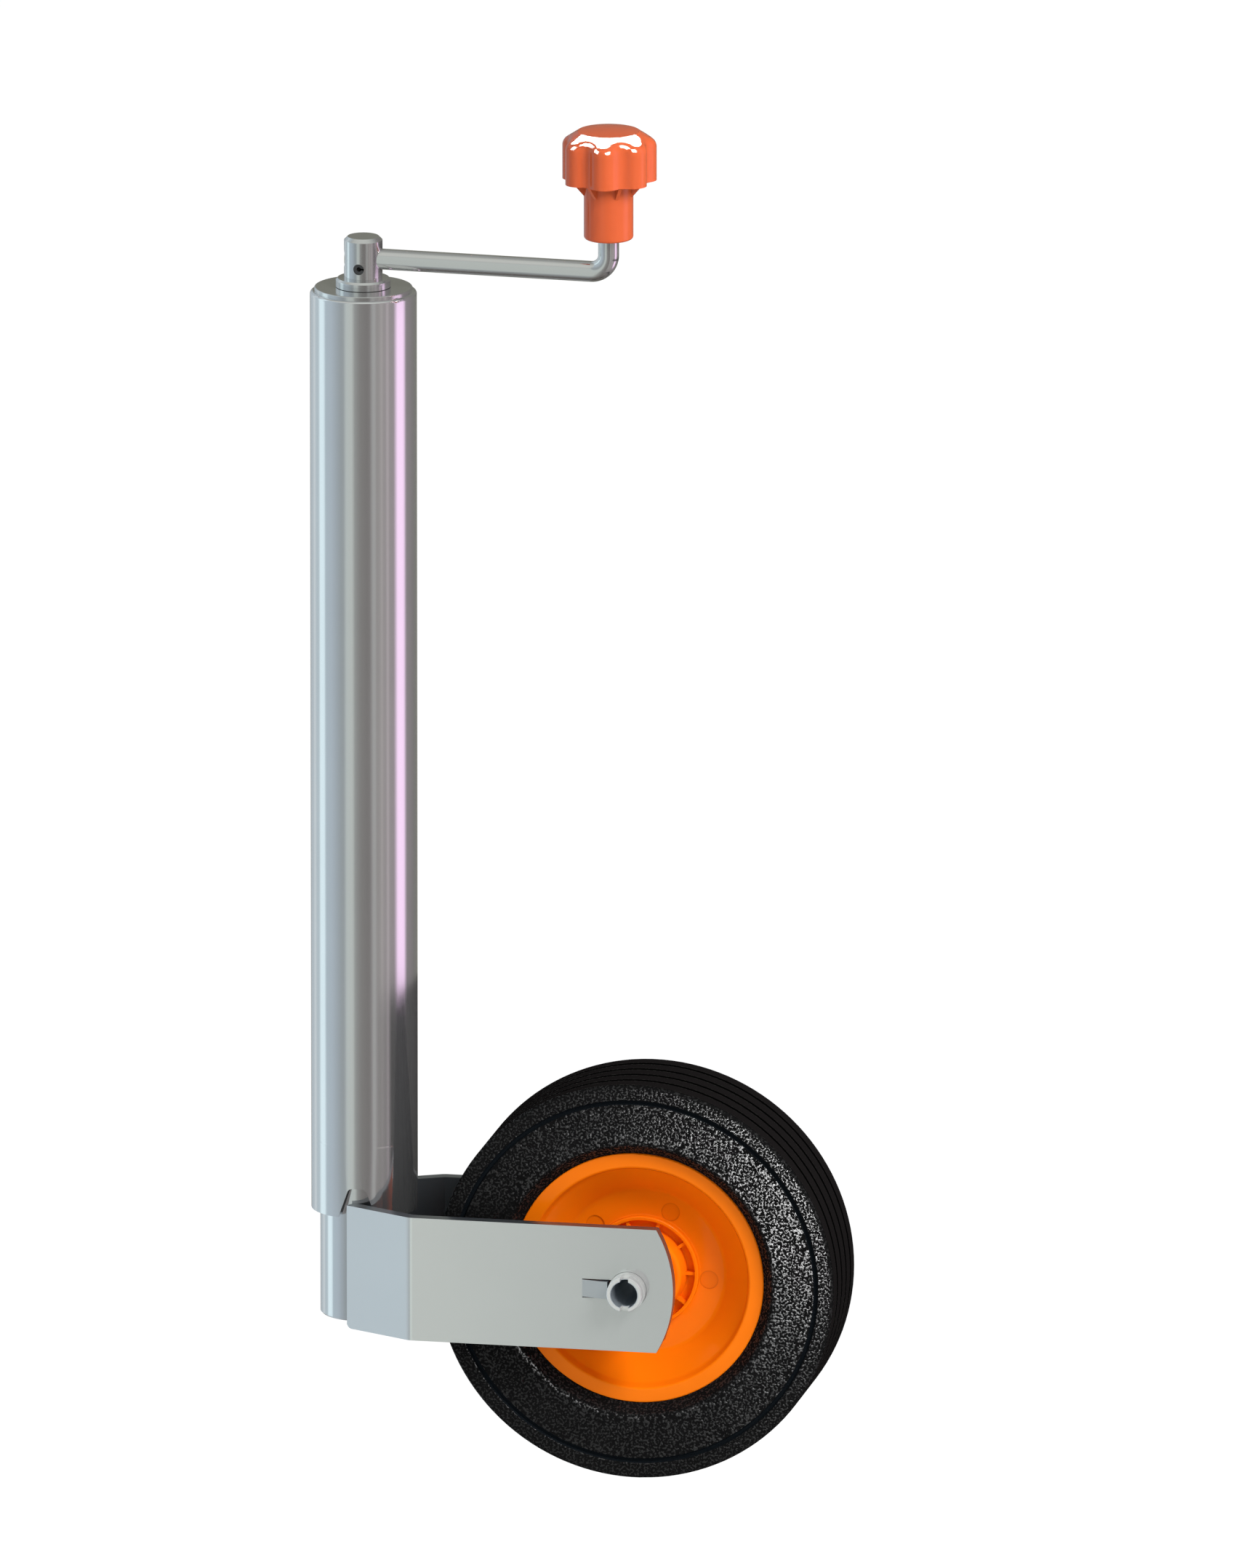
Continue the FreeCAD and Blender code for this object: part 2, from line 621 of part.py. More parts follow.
def knob_ribs():
    """Thin ribs in the hollow underside, one at each flute, that run on down the neck as small gussets."""
    root = NECK_OD / 2 - OVERSHOOT
    skirt = STAR_OD / 2 - STAR_WALL * 2
    roof = STAR_TOP - STAR_ROOF + OVERSHOOT
    corners = [
        (root, STAR_FOOT - STAR_RIB_DROP),
        (NECK_OD / 2, STAR_FOOT - STAR_RIB_DROP),
        (skirt, STAR_FOOT),
        (skirt, roof),
        (root, roof),
    ]
    face = Part.Face(outline(corners, lambda u, v: Vector(u, -STAR_RIB / 2, v)))
    hidden = star(STAR_WALL / 2, STAR_FOOT - STAR_RIB_DROP - OVERSHOOT, roof)
    ribs = []
    for i in range(STAR_LOBES):
        rib = face.extrude(Y_AXIS * STAR_RIB)
        rib.rotate(Vector(0, 0, 0), Z_AXIS, STAR_TURN + (i + 0.5) * 360 / STAR_LOBES)
        ribs.append(rib.common(hidden))
    return ribs


def knob_cap():
    """The round cap pressed into the knob's top, slightly crowned."""
    radius = KNOB_CAP_OD / 2
    plug = CLIP_CHAMBER_OD / 2 - SEAT
    plug_bore = plug - KNOB_CAP_PLUG_WALL
    ball = (radius ** 2 + KNOB_CAP_CROWN ** 2) / (2 * KNOB_CAP_CROWN)
    half_turn = math.asin(radius / ball) / 2
    summit = STAR_TOP + KNOB_CAP_CROWN
    crown = Part.Arc(
        Vector(radius, 0, STAR_TOP),
        Vector(ball * math.sin(half_turn), 0, summit - ball * (1 - math.cos(half_turn))),
        Vector(0, 0, summit),
    ).toShape()
    corners = [
        (0, summit),
        (0, CAP_RECESS_FLOOR),
        (plug_bore, CAP_RECESS_FLOOR),
        (plug_bore, CAP_RECESS_FLOOR - KNOB_CAP_PLUG),
        (plug, CAP_RECESS_FLOOR - KNOB_CAP_PLUG),
        (plug, CAP_RECESS_FLOOR),
        (radius, CAP_RECESS_FLOOR),
        (radius, STAR_TOP),
    ]
    points = [Vector(u, 0, v) for u, v in corners]
    sides = [Part.LineSegment(a, b).toShape() for a, b in zip(points, points[1:])]
    cap = Part.Face(Part.Wire(sides + [crown])).revolve(Vector(0, 0, 0), Z_AXIS, 360)
    cap.translate(Vector(ARM_REACH, 0, 0))
    return cap


def tongue():
    """The tongue lanced out of the leg beside the axle, bent outwards towards its free end."""
    end = AXLE_X - AXLE_RADIUS - TONGUE_GAP
    root = end - TONGUE_LENGTH
    foot = AXLE_Z - TONGUE_HEIGHT / 2
    corners = [
        (root, FORK_INNER),
        (end, FORK_INNER + TONGUE_LIFT),
        (end, FORK_OUTER + TONGUE_LIFT),
        (root, FORK_OUTER),
    ]
    solid = Part.Face(outline(corners, lambda u, v: Vector(u, v, foot))).extrude(Z_AXIS * TONGUE_HEIGHT)
    slot = block(
        Vector(root, FORK_INNER - OVERSHOOT, foot - TONGUE_GAP),
        Vector(AXLE_X, FORK_OUTER + OVERSHOOT, foot + TONGUE_HEIGHT + TONGUE_GAP),
    )
    return solid, slot


def fork_leg_left():
    """The folded plate seen from above, trimmed to its outline from the side, drilled and lanced."""
    plan = Part.Face(outline(leg_plan(), lambda u, v: Vector(u, v, LEG_FOOT)))
    leg = plan.extrude(Z_AXIS * LEG_HEIGHT)
    back = leg_plan()[-1][0] - SEAT
    back_up = Vector(back, 0, LEG_TOP)
    round_start = Vector(back, 0, LEG_FOOT + LEG_CORNER_ROUND)
    round_end = Vector(back + LEG_CORNER_ROUND, 0, LEG_FOOT)
    inset = LEG_CORNER_ROUND * (1 - math.sqrt(0.5))
    round_middle = Vector(back + inset, 0, LEG_FOOT + inset)
    corner_up = Vector(LEG_CORNER_X, 0, LEG_TOP)
    corner_down = Vector(LEG_CORNER_X, 0, LEG_FOOT)
    tip = Vector(LEG_CORNER_X + LEG_TIP_BULGE, 0, AXLE_Z)
    side = [
        Part.LineSegment(corner_up, back_up).toShape(),
        Part.LineSegment(back_up, round_start).toShape(),
        Part.Arc(round_start, round_middle, round_end).toShape(),
        Part.LineSegment(round_end, corner_down).toShape(),
        Part.Arc(corner_down, tip, corner_up).toShape(),
    ]
    leg = leg.common(Part.Face(Part.Wire(side)).extrude(Y_AXIS * (FORK_OUTER + OVERSHOOT)))
    lanced, slot = tongue()
    below = Vector(0, 0, LEG_FOOT - OVERSHOOT)
    above = Vector(0, 0, LEG_TOP + OVERSHOOT)
    tube = rod(INNER_RADIUS + SEAT, below, above)
    axle_hole = rod(
        AXLE_RADIUS + AXLE_HOLE_GAP,
        Vector(AXLE_X, FORK_INNER - OVERSHOOT, AXLE_Z),
        Vector(AXLE_X, FORK_OUTER + OVERSHOOT, AXLE_Z),
    )
    return leg.cut(slot).fuse(lanced).cut([tube, axle_hole]).removeSplitter()


def fork_welds():
    """The seam inside each leg, in the wedge between its inner face and the inner tube."""
    start = Vector(LEG_START, INNER_RADIUS - LEG_BITE, 0)
    along = Vector(math.cos(FLARE), math.sin(FLARE), 0)
    dot = start.dot(along)
    touch = start + along * (-dot + math.sqrt(dot * dot - start.dot(start) + (INNER_RADIUS + SEAT) ** 2))
    away = Vector(math.sin(FLARE), -math.cos(FLARE), 0) * SEAT
    corners = [touch + away, touch + along * WELD_SIDE + away, touch + X_AXIS * WELD_SIDE * 0.9]
    foot = LEG_FOOT + WELD_END_GAP
    height = TUBE_FOOT - WELD_END_GAP - foot
    wire = Part.makePolygon([Vector(c.x, c.y, foot) for c in corners + corners[:1]])
    bead = Part.Face(wire).extrude(Z_AXIS * height)
    below = Vector(0, 0, foot - OVERSHOOT)
    above = Vector(0, 0, foot + height + OVERSHOOT)
    bead = bead.cut(rod(INNER_RADIUS + SEAT, below, above))
    return Part.makeCompound([bead, mirrored(bead)])


def axle_tube():
    """The tube through both legs, with a slotted collar and a groove at each end."""
    end = AXLE_END_OD / 2
    groove = AXLE_GROOVE_OD / 2
    shoulder = AXLE_HALF - AXLE_END_LENGTH
    tube = turned_on_axle(both_sides([
        (AXLE_RADIUS, shoulder - AXLE_GROOVE_WIDTH),
        (groove, shoulder - AXLE_GROOVE_WIDTH),
        (groove, shoulder),
        (end, shoulder),
        (end, AXLE_HALF, AXLE_EDGE_ROUND),
        (AXLE_RADIUS - AXLE_WALL, AXLE_HALF),
    ]))
    slot = block(
        Vector(AXLE_X - AXLE_SLOT_WIDTH / 2, AXLE_HALF - AXLE_SLOT_DEPTH, AXLE_Z - AXLE_OD),
        Vector(AXLE_X + AXLE_SLOT_WIDTH / 2, AXLE_HALF + OVERSHOOT, AXLE_Z + AXLE_OD),
    )
    return tube.cut([slot, mirrored(slot)])


def spacer_left():
    return turned_on_axle([
        (AXLE_RADIUS + SEAT, FORK_INNER - SPACER_WIDTH),
        (SPACER_OD / 2, FORK_INNER - SPACER_WIDTH, HUB_EDGE_ROUND),
        (SPACER_OD / 2, FORK_INNER),
        (AXLE_RADIUS + SEAT, FORK_INNER),
    ])


def hub_bush_left():
    inner = AXLE_RADIUS + RUN
    outer = inner + BUSH_WALL
    return turned_on_axle([
        (inner, HUB_HALF_WIDTH - BUSH_LENGTH),
        (outer, HUB_HALF_WIDTH - BUSH_LENGTH, HUB_EDGE_ROUND),
        (outer, HUB_HALF_WIDTH),
        (BUSH_FLANGE_OD / 2, HUB_HALF_WIDTH),
        (BUSH_FLANGE_OD / 2, BUSH_FACE, HUB_EDGE_ROUND),
        (inner, BUSH_FACE),
    ])


def both_sides(side):
    """The wheel's left-hand corners, then the same ones mirrored, in the order that closes the outline."""
    return side + [(c[0], -c[1], *c[2:]) for c in reversed(side)]


def rim_hub():
    """The hub disc: bore, hub tube, boss, ribbed groove, lip and flat web with its round mould marks."""
    tube = HUB_OD / 2
    lip_inner = LIP_OUTER_RADIUS - LIP_WIDTH
    shape = turned_on_axle(both_sides([
        (HUB_BORE, HUB_HALF_WIDTH),
        (tube, HUB_HALF_WIDTH, MOULD_ROUND),
        (tube, BOSS_TOP, MOULD_ROUND),
        (BOSS_TOP_RADIUS, BOSS_TOP, BOSS_ROUND),
        (BOSS_ROOT_RADIUS, GROOVE_HALF, MOULD_ROUND),
        (lip_inner, GROOVE_HALF, MOULD_ROUND),
        (lip_inner, LIP_TOP),
        (LIP_OUTER_RADIUS, LIP_TOP, MOULD_ROUND),
        (LIP_OUTER_RADIUS, WEB_HALF, MOULD_ROUND),
        (HUB_DISC_RADIUS, WEB_HALF),
    ]))
    ribs = []
    for i in range(GROOVE_RIBS):
        rib = block(
            Vector(BOSS_TOP_RADIUS, -GROOVE_RIB_TOP, -GROOVE_RIB_WIDTH / 2),
            Vector(LIP_OUTER_RADIUS - LIP_WIDTH / 2, GROOVE_RIB_TOP, GROOVE_RIB_WIDTH / 2),
        )
        rib.rotate(Vector(0, 0, 0), Y_AXIS, 360 / GROOVE_RIBS * i)
        rib.translate(WHEEL_CENTRE)
        ribs.append(rib)
    shape = shape.fuse(ribs)
    marks = []
    for i in range(MARK_COUNT):
        angle = math.radians(MARK_TURN + 360 / MARK_COUNT * i)
        spot = WHEEL_CENTRE + Vector(math.cos(angle), 0, math.sin(angle)) * MARK_CIRCLE
        floor = spot + Y_AXIS * (WEB_HALF - MARK_DEPTH)
        mark = rod(MARK_RADIUS, floor, spot + Y_AXIS * (WEB_HALF + OVERSHOOT))
        marks += [mark, mirrored(mark)]
    return shape.cut(marks)


def tyre_seat(gap):
    """Corners of the channel that the rim and the tyre share, on the left side, moved in by the gap."""
    seat = FLANGE_INNER_RADIUS + DISH_WALL + gap
    foot = FLANGE_FACE - FLANGE_THICKNESS - gap
    return [
        (DISH_FOOT_RADIUS + DISH_WALL + gap, WEB_HALF, CHANNEL_ROUND),
        (seat - TYRE_SEAT_IN, foot - TYRE_SEAT_DROP, TYRE_SEAT_ROUND),
        (seat, foot, MOULD_ROUND),
    ]


def rim():
    """The outer ring: the web's edge, the dish, the flange and the channel that carries the tyre."""
    side = [
        (HUB_DISC_RADIUS, WEB_HALF),
        (DISH_FOOT_RADIUS, WEB_HALF, DISH_FOOT_ROUND),
        (FLANGE_INNER_RADIUS - DISH_SHOULDER_IN, FLANGE_FACE - DISH_SHOULDER_DROP, DISH_SHOULDER_ROUND),
        (FLANGE_INNER_RADIUS, FLANGE_FACE, FLANGE_INNER_ROUND),
        (FLANGE_OUTER_RADIUS, FLANGE_FACE, MOULD_ROUND),
        (FLANGE_OUTER_RADIUS, FLANGE_FACE - FLANGE_THICKNESS, MOULD_ROUND),
    ]
    return turned_on_axle(both_sides(side + tyre_seat(0)[::-1]))


def tyre():
    """Solid rubber round the rim: channel, side walls, shoulder rings and a tread with fine grooves."""
    wall_foot = FLANGE_OUTER_RADIUS + SEAT
    ring_inner = TYRE_RADIUS - SIDE_RING_WIDTH
    groove_inner = ring_inner - SIDE_GROOVE_WIDTH
    side_wall = TYRE_HALF_WIDTH - SIDE_WALL_SET_BACK
    side = tyre_seat(SEAT) + [
        (wall_foot, FLANGE_FACE - FLANGE_THICKNESS - SEAT),
        (wall_foot, FLANGE_FACE - BEAD_STEP),
        (wall_foot + SIDE_WALL_RISE, TYRE_HALF_WIDTH - SIDE_WALL_STEP, SIDE_WALL_ROUND),
        (groove_inner, side_wall),
        (groove_inner + SIDE_GROOVE_SLOPE, side_wall - SIDE_GROOVE_DEPTH),
        (ring_inner - SIDE_GROOVE_SLOPE, side_wall - SIDE_GROOVE_DEPTH),
        (ring_inner, TYRE_HALF_WIDTH, MOULD_ROUND),
        (TYRE_RADIUS, TYRE_HALF_WIDTH, TYRE_SHOULDER_ROUND),
    ]
    tread = []
    for i in range(TREAD_GROOVES):
        middle = TYRE_HALF_WIDTH * (1 - 2 * (i + 1) / (TREAD_GROOVES + 1))
        half = TREAD_GROOVE_WIDTH / 2
        tread += [
            (TYRE_RADIUS, middle + half),
            (TYRE_RADIUS - TREAD_GROOVE_DEPTH, middle),
            (TYRE_RADIUS, middle - half),
        ]
    return turned_on_axle(side + tread + both_sides(side)[len(side):])


PIECES = {
    "outer_tube": outer_tube,
    "top_cap": top_cap,
    "lower_guide": lower_guide,
    "spindle": spindle,
    "thrust_collar": thrust_collar,
    "thrust_washer": thrust_washer,
    "lock_collar": lock_collar,
    "lock_pin": lock_pin,
    "stop_washer": stop_washer,
    "stop_pin": stop_pin,
    "crank_arm": crank_arm,
    "arm_pin_outer": arm_pin_outer,
    "arm_pin_inner": arm_pin_inner,
    "grip_clip": grip_clip,
    "knob": knob,
    "knob_cap": knob_cap,
    "inner_tube": inner_tube,
    "upper_guide": upper_guide,
    "spindle_nut": spindle_nut,
    "fork_leg_left": fork_leg_left,
    "fork_leg_right": lambda: mirrored(fork_leg_left()),
    "fork_welds": fork_welds,
    "axle_tube": axle_tube,
    "spacer_left": spacer_left,
    "spacer_right": lambda: mirrored(spacer_left()),
    "hub_bush_left": hub_bush_left,
    "hub_bush_right": lambda: mirrored(hub_bush_left()),
    "rim_hub": rim_hub,
    "rim": rim,
    "tyre": tyre,
}

# The pieces that turn with the spindle
ON_SPINDLE = {
    "spindle",
    "lock_collar",
    "lock_pin",
    "stop_washer",
    "stop_pin",
    "crank_arm",
    "arm_pin_outer",
    "arm_pin_inner",
    "grip_clip",
    "knob",
    "knob_cap",
}

os.makedirs("parts", exist_ok=True)
for name, make in PIECES.items():
    piece = make()
    if name in ON_SPINDLE:
        piece.rotate(Vector(0, 0, 0), Z_AXIS, CRANK_TURN)
    if not piece.isValid():
        raise ValueError(f"{name} is not a valid solid")
    piece.exportStep(f"parts/{name}.step")
    box = piece.BoundBox
    print(f"{name}: {len(piece.Solids)} solid(s), {piece.Volume / 1000:.2f} cm3")
    print(f"  X {box.XMin:.1f} to {box.XMax:.1f}, Y {box.YMin:.1f} to {box.YMax:.1f}")
    print(f"  Z {box.ZMin:.1f} to {box.ZMax:.1f}")
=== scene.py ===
# %% [markdown]
# # A jockey wheel in a light studio
#
# A jockey wheel holds up the nose of a trailer. A steel tube is clamped to the drawbar, a crank on top
# winds a second tube out of it, and a rubber-tyred wheel rolls in a fork below. The solids come from the
# CAD model as a fixed frame. This script gives them their finishes, adds the weld beads, and sets up
# the studio and the camera. Lengths are in metres, and the origin is on the tubes' axis.

# %% Load the frame
import json
import math

import bpy
import numpy as np
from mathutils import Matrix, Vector


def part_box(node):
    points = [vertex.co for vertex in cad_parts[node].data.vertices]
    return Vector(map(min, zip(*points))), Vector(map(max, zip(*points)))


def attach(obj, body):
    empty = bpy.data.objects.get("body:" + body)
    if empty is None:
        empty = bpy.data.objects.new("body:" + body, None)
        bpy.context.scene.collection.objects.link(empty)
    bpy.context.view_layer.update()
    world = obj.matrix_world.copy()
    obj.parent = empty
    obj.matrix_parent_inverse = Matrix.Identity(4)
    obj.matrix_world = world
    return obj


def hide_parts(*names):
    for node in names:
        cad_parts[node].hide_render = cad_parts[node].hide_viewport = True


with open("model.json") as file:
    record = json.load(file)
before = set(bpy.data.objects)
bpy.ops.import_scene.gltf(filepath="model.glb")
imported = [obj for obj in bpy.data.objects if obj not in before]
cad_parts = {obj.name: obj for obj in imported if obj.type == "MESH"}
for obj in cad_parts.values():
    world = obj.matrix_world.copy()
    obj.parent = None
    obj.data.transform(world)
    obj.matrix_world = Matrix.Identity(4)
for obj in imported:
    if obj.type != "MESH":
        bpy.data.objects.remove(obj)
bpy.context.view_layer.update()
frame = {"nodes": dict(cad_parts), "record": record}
nodes = frame["nodes"]
MM = 0.001
print("pieces in the frame:", len(nodes))

tyre_low, tyre_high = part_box("tyre")
WHEEL = (tyre_low + tyre_high) / 2
TYRE_RADIUS = (tyre_high.z - tyre_low.z) / 2 / MM
TYRE_HALF = (tyre_high.y - tyre_low.y) / 2 / MM
print("wheel centre:", [round(c, 4) for c in WHEEL], "tyre radius in mm:", round(TYRE_RADIUS, 1))

# %% [markdown]
# ## Writing shaders as sums
#
# A finish is easier to read as a formula than as a web of boxes. `Number` wraps a socket, so that Python's
# own signs add the Math nodes. `Tree.node` makes any other node: its settings are set first, then its
# sockets get their values or links.

# %% A number in a shader
class Number:
    """A number socket of a node tree. Its sums add Math nodes."""

    def __init__(self, tree, socket):
        self.tree, self.socket = tree, socket

    def __add__(self, other):
        return self.tree.maths("ADD", self, other)

    def __sub__(self, other):
        return self.tree.maths("SUBTRACT", self, other)

    def __mul__(self, other):
        return self.tree.maths("MULTIPLY", self, other)

    def __truediv__(self, other):
        return self.tree.maths("DIVIDE", self, other)

    def __pow__(self, other):
        return self.tree.maths("POWER", self, other)

    def __rsub__(self, other):
        return self.tree.maths("SUBTRACT", other, self)

    __radd__ = __add__
    __rmul__ = __mul__

    def __neg__(self):
        return self * -1

    def __abs__(self):
        return self.tree.maths("ABSOLUTE", self)


# %% A tree of nodes
class Tree:
    """The nodes of one material, or of the world."""

    def __init__(self, owner):
        owner.use_nodes = True
        self.nodes, self.links = owner.node_tree.nodes, owner.node_tree.links
        self.nodes.clear()

    def node(self, kind, settings=None, sockets=None):
        """Makes a node. Settings come first, a ramp's stops among them; then values or links go in by socket."""
        made = self.nodes.new(kind)
        for name, value in (settings or {}).items():
            if name == "stops":
                elements = made.color_ramp.elements
                for i, (place, colour) in enumerate(value):
                    stop = elements[i] if i < len(elements) else elements.new(place)
                    stop.position, stop.color = place, (*colour, 1)
            else:
                setattr(made, name, value)
        for name, value in (sockets or {}).items():
            socket = made.inputs[name]
            if isinstance(value, Number):
                value = value.socket
            if isinstance(value, bpy.types.NodeSocket):
                self.links.new(value, socket)
            else:
                socket.default_value = value
        return made

    def maths(self, operation, *values):
        """One Math node, on numbers or sockets."""
        made = self.node("ShaderNodeMath", {"operation": operation}, dict(enumerate(values)))
        return Number(self, made.outputs[0])

    def smooth(self, value, start, end):
        """0 before start, 1 after end, and an S-shaped way between."""
        sockets = {"Value": value, "From Min": start, "From Max": end}
        return Number(self, self.node("ShaderNodeMapRange", {"interpolation_type": "SMOOTHSTEP"}, sockets).outputs[0])

    def axes(self, vector):
        """The three numbers of a vector."""
        split = self.node("ShaderNodeSeparateXYZ", {}, {0: vector})
        return [Number(self, split.outputs[i]) for i in range(3)]

    def vector(self, x, y, z):
        """A vector, or a grey colour, from three numbers."""
        return self.node("ShaderNodeCombineXYZ", {}, {0: x, 1: y, 2: z}).outputs[0]

    def mix(self, share, first, second, how="MIX"):
        """Colours go through Mix, because a Math node would turn them grey."""
        made = self.node("ShaderNodeMix", {"data_type": "RGBA", "blend_type": how}, {0: share, 6: first, 7: second})
        return made.outputs[2]


# %% A finish
class Finish(Tree):
    """A surface finish that is worked out from the place on the piece."""

    def __init__(self, name):
        self.material = bpy.data.materials.new(name)
        super().__init__(self.material)
        self.place = self.node("ShaderNodeTexCoord").outputs["Object"]

    def grain(self, pitch, detail=2.0, rough=0.5, at=None):
        """Cloudy noise from 0 to 1 whose grains measure pitch millimetres along X, Y and Z."""
        scale = tuple(1 / (p * MM) for p in pitch)
        laid = self.node("ShaderNodeMapping", {}, {"Vector": at or self.place, "Scale": scale}).outputs[0]
        sockets = {"Vector": laid, "Scale": 1.0, "Detail": detail, "Roughness": rough}
        return Number(self, self.node("ShaderNodeTexNoise", {}, sockets).outputs[0])

    def from_axle(self):
        """The distance from the wheel's axle, in millimetres."""
        x, y, z = self.axes(self.place)
        return ((x - WHEEL.x) ** 2 + (z - WHEEL.z) ** 2) ** 0.5 / MM

    def bump(self, height, depth, below=None):
        """Height from 0 to 1, over depth in millimetres, on top of the bump below."""
        sockets = {"Height": height, "Distance": depth * MM, "Strength": 1.0}
        if below:
            sockets["Normal"] = below
        return self.node("ShaderNodeBump", {}, sockets).outputs[0]

    def done(self, matte=None, **sockets):
        """Joins the last values to the surface. Base_Color stands for the socket Base Color. Where the share
        matte is 1, the surface is quite dull, without the shine that plastics and rubber get at a low angle."""
        named = {name.replace("_", " "): value for name, value in sockets.items()}
        shader = self.node("ShaderNodeBsdfPrincipled", {}, named)
        if matte:
            dull = self.node("ShaderNodeBsdfDiffuse", {}, {"Color": named["Base Color"], "Normal": named["Normal"]})
            shader = self.node("ShaderNodeMixShader", {}, {0: matte, 1: shader.outputs[0], 2: dull.outputs[0]})
        self.node("ShaderNodeOutputMaterial", {}, {"Surface": shader.outputs[0]})
        print("finish:", self.material.name, "with", len(self.nodes), "nodes")
        return self.material


# %% [markdown]
# ## Bright zinc
#
# All the steel is zinc-plated and clear-passivated: a mirror with a blue-grey cast, but a slightly
# cloudy one, because the plating follows the marks of the tool that made the piece. A scanned picture of such
# steel would need a seam somewhere on every tube. Noise needs none, so there is one recipe for zinc that works
# from the place alone, and each piece gives it the direction of its own marks.

# %% The recipe for zinc
# The dim steel colour that painted shade on the zinc is mixed towards.
PAINTED_SHADE_STEEL = (0.72, 0.80, 0.88)


def zinc(name, marks, tint=(0.80, 0.815, 0.825), rough=0.11, depth=0.006, metal=0.94, painted_shade=None, painted_shade_tone=0.4):
    """Plated steel. marks(finish) gives the height of its tool marks, in depth millimetres. painted_shade(finish) is
    1 where shade is painted on the steel, and painted_shade_tone says how light the painted shade is."""
    f = Finish(name)
    lines = marks(f)
    clouds = f.grain((38, 38, 52), 3.0, 0.55)
    pores = f.grain((0.55, 0.55, 0.55), 2.0)
    tone = f.mix(clouds, tuple(c * 0.96 for c in tint) + (1,), tuple(min(1, c * 1.03) for c in tint) + (1,))
    roughness = rough + (clouds - 0.5) * 0.07 + (lines - 0.5) * 0.05
    # Painted shade: where the mask is 1, the colour goes towards dim steel and the zinc is rougher.
    if painted_shade:
        share = painted_shade(f)
        tone = f.mix(share, tone, tuple(c * painted_shade_tone for c in PAINTED_SHADE_STEEL) + (1,))
        roughness = roughness + share * 0.20
    normal = f.bump(lines, depth)
    normal = f.bump(pores, 0.0012, normal)
    return f.done(Base_Color=tone, Metallic=metal, Roughness=roughness, Normal=normal)


# %% [markdown]
# ### Tool marks
#
# A die, a lathe and a rolling mill all leave lines in the direction in which they worked: lengthwise on drawn
# tube, round and round on turned pieces, along the sheet on plate. Each is noise whose grains are very long that
# way and fine across it. On turned pieces the noise reads the distance from the axis and the height instead of
# the place, which makes rings of it.

# %% Marks of each kind of piece
def drawn(f):
    """Fine lines along Z, wide ones among narrow ones, as a drawing die leaves them."""
    return f.grain((1.1, 1.1, 900), 3.0, 0.6) * 0.5 + f.grain((6.5, 6.5, 1400), 1.0) * 0.5


def turned(f):
    """Rings round Z: noise on the distance from the axis and on the height alone."""
    x, y, z = f.axes(f.place)
    radius = (x * x + y * y) ** 0.5
    return f.grain((0.35, 0.35, 0.35), 2.0, 0.5, f.vector(radius, 0.0, z))


def rolled(f):
    """Long faint lines along X, as cold-rolled plate has."""
    return f.grain((260, 1.3, 1.3), 3.0, 0.6)


def lengthwise(f):
    """Long faint lines along X, the way the crank's bar lies."""
    return f.grain((45, 0.8, 0.8), 2.0)


def across_axle(f):
    """A fine grain, closer along the axle than across it, as the saw and the file leave on short tube."""
    return f.grain((1.0, 0.5, 1.0), 2.0)


# %% [markdown]
# ### Where shade is painted on the zinc
#
# The fork's plates' cut edges are painted darker than their faces: sheared steel is a little greyer, and the rest
# is painted shade. The faces towards the tyre are painted dark as shade, a faint painted shade grows along the outer
# faces towards the axle, and the bore of the axle is painted dark as shade. The solids keep one material each, so a
# mask finds these places: from the direction in which the surface looks, and from where it lies.

# %% Masks for painted shade
BORE_RADIUS = 6.2  # millimetres
# Painted shade: a faint darkening of the plate's outer face that grows towards the axle.
SHADE_RAMP_START, SHADE_RAMP_END, SHADE_RAMP_SHARE = 15, 155, 0.16  # millimetres in front of the tubes' axis, and a share


def edges_and_inside(f):
    """1 on the plate's cut edges, which look up, down or forward, and on the face towards the tyre, where the
    normal points against the side that the face is on: painted shade, with a little greyer sheared steel on the
    edges.
    A faint painted shade also lies on the outer face, more of it towards the axle."""
    along, across, up = f.axes(f.node("ShaderNodeNewGeometry").outputs["Normal"])
    x, y, z = f.axes(f.place)
    # Painted shade on the face towards the tyre and on the cut edges.
    inwards = f.smooth(across * y / MM, -10, -16)
    edges = f.smooth(abs(across), 0.62, 0.42)
    # Painted shade: the outer face darkens a little towards the axle.
    dust_and_shade = f.smooth(x / MM, SHADE_RAMP_START, SHADE_RAMP_END) * SHADE_RAMP_SHARE
    return f.maths("MAXIMUM", f.maths("MAXIMUM", edges, inwards), dust_and_shade)


def axle_bore(f):
    """1 inside the axle tube, where the bore is painted dark as shade."""
    # Painted shade inside the bore.
    return f.smooth(f.from_axle(), BORE_RADIUS + 0.4, BORE_RADIUS)


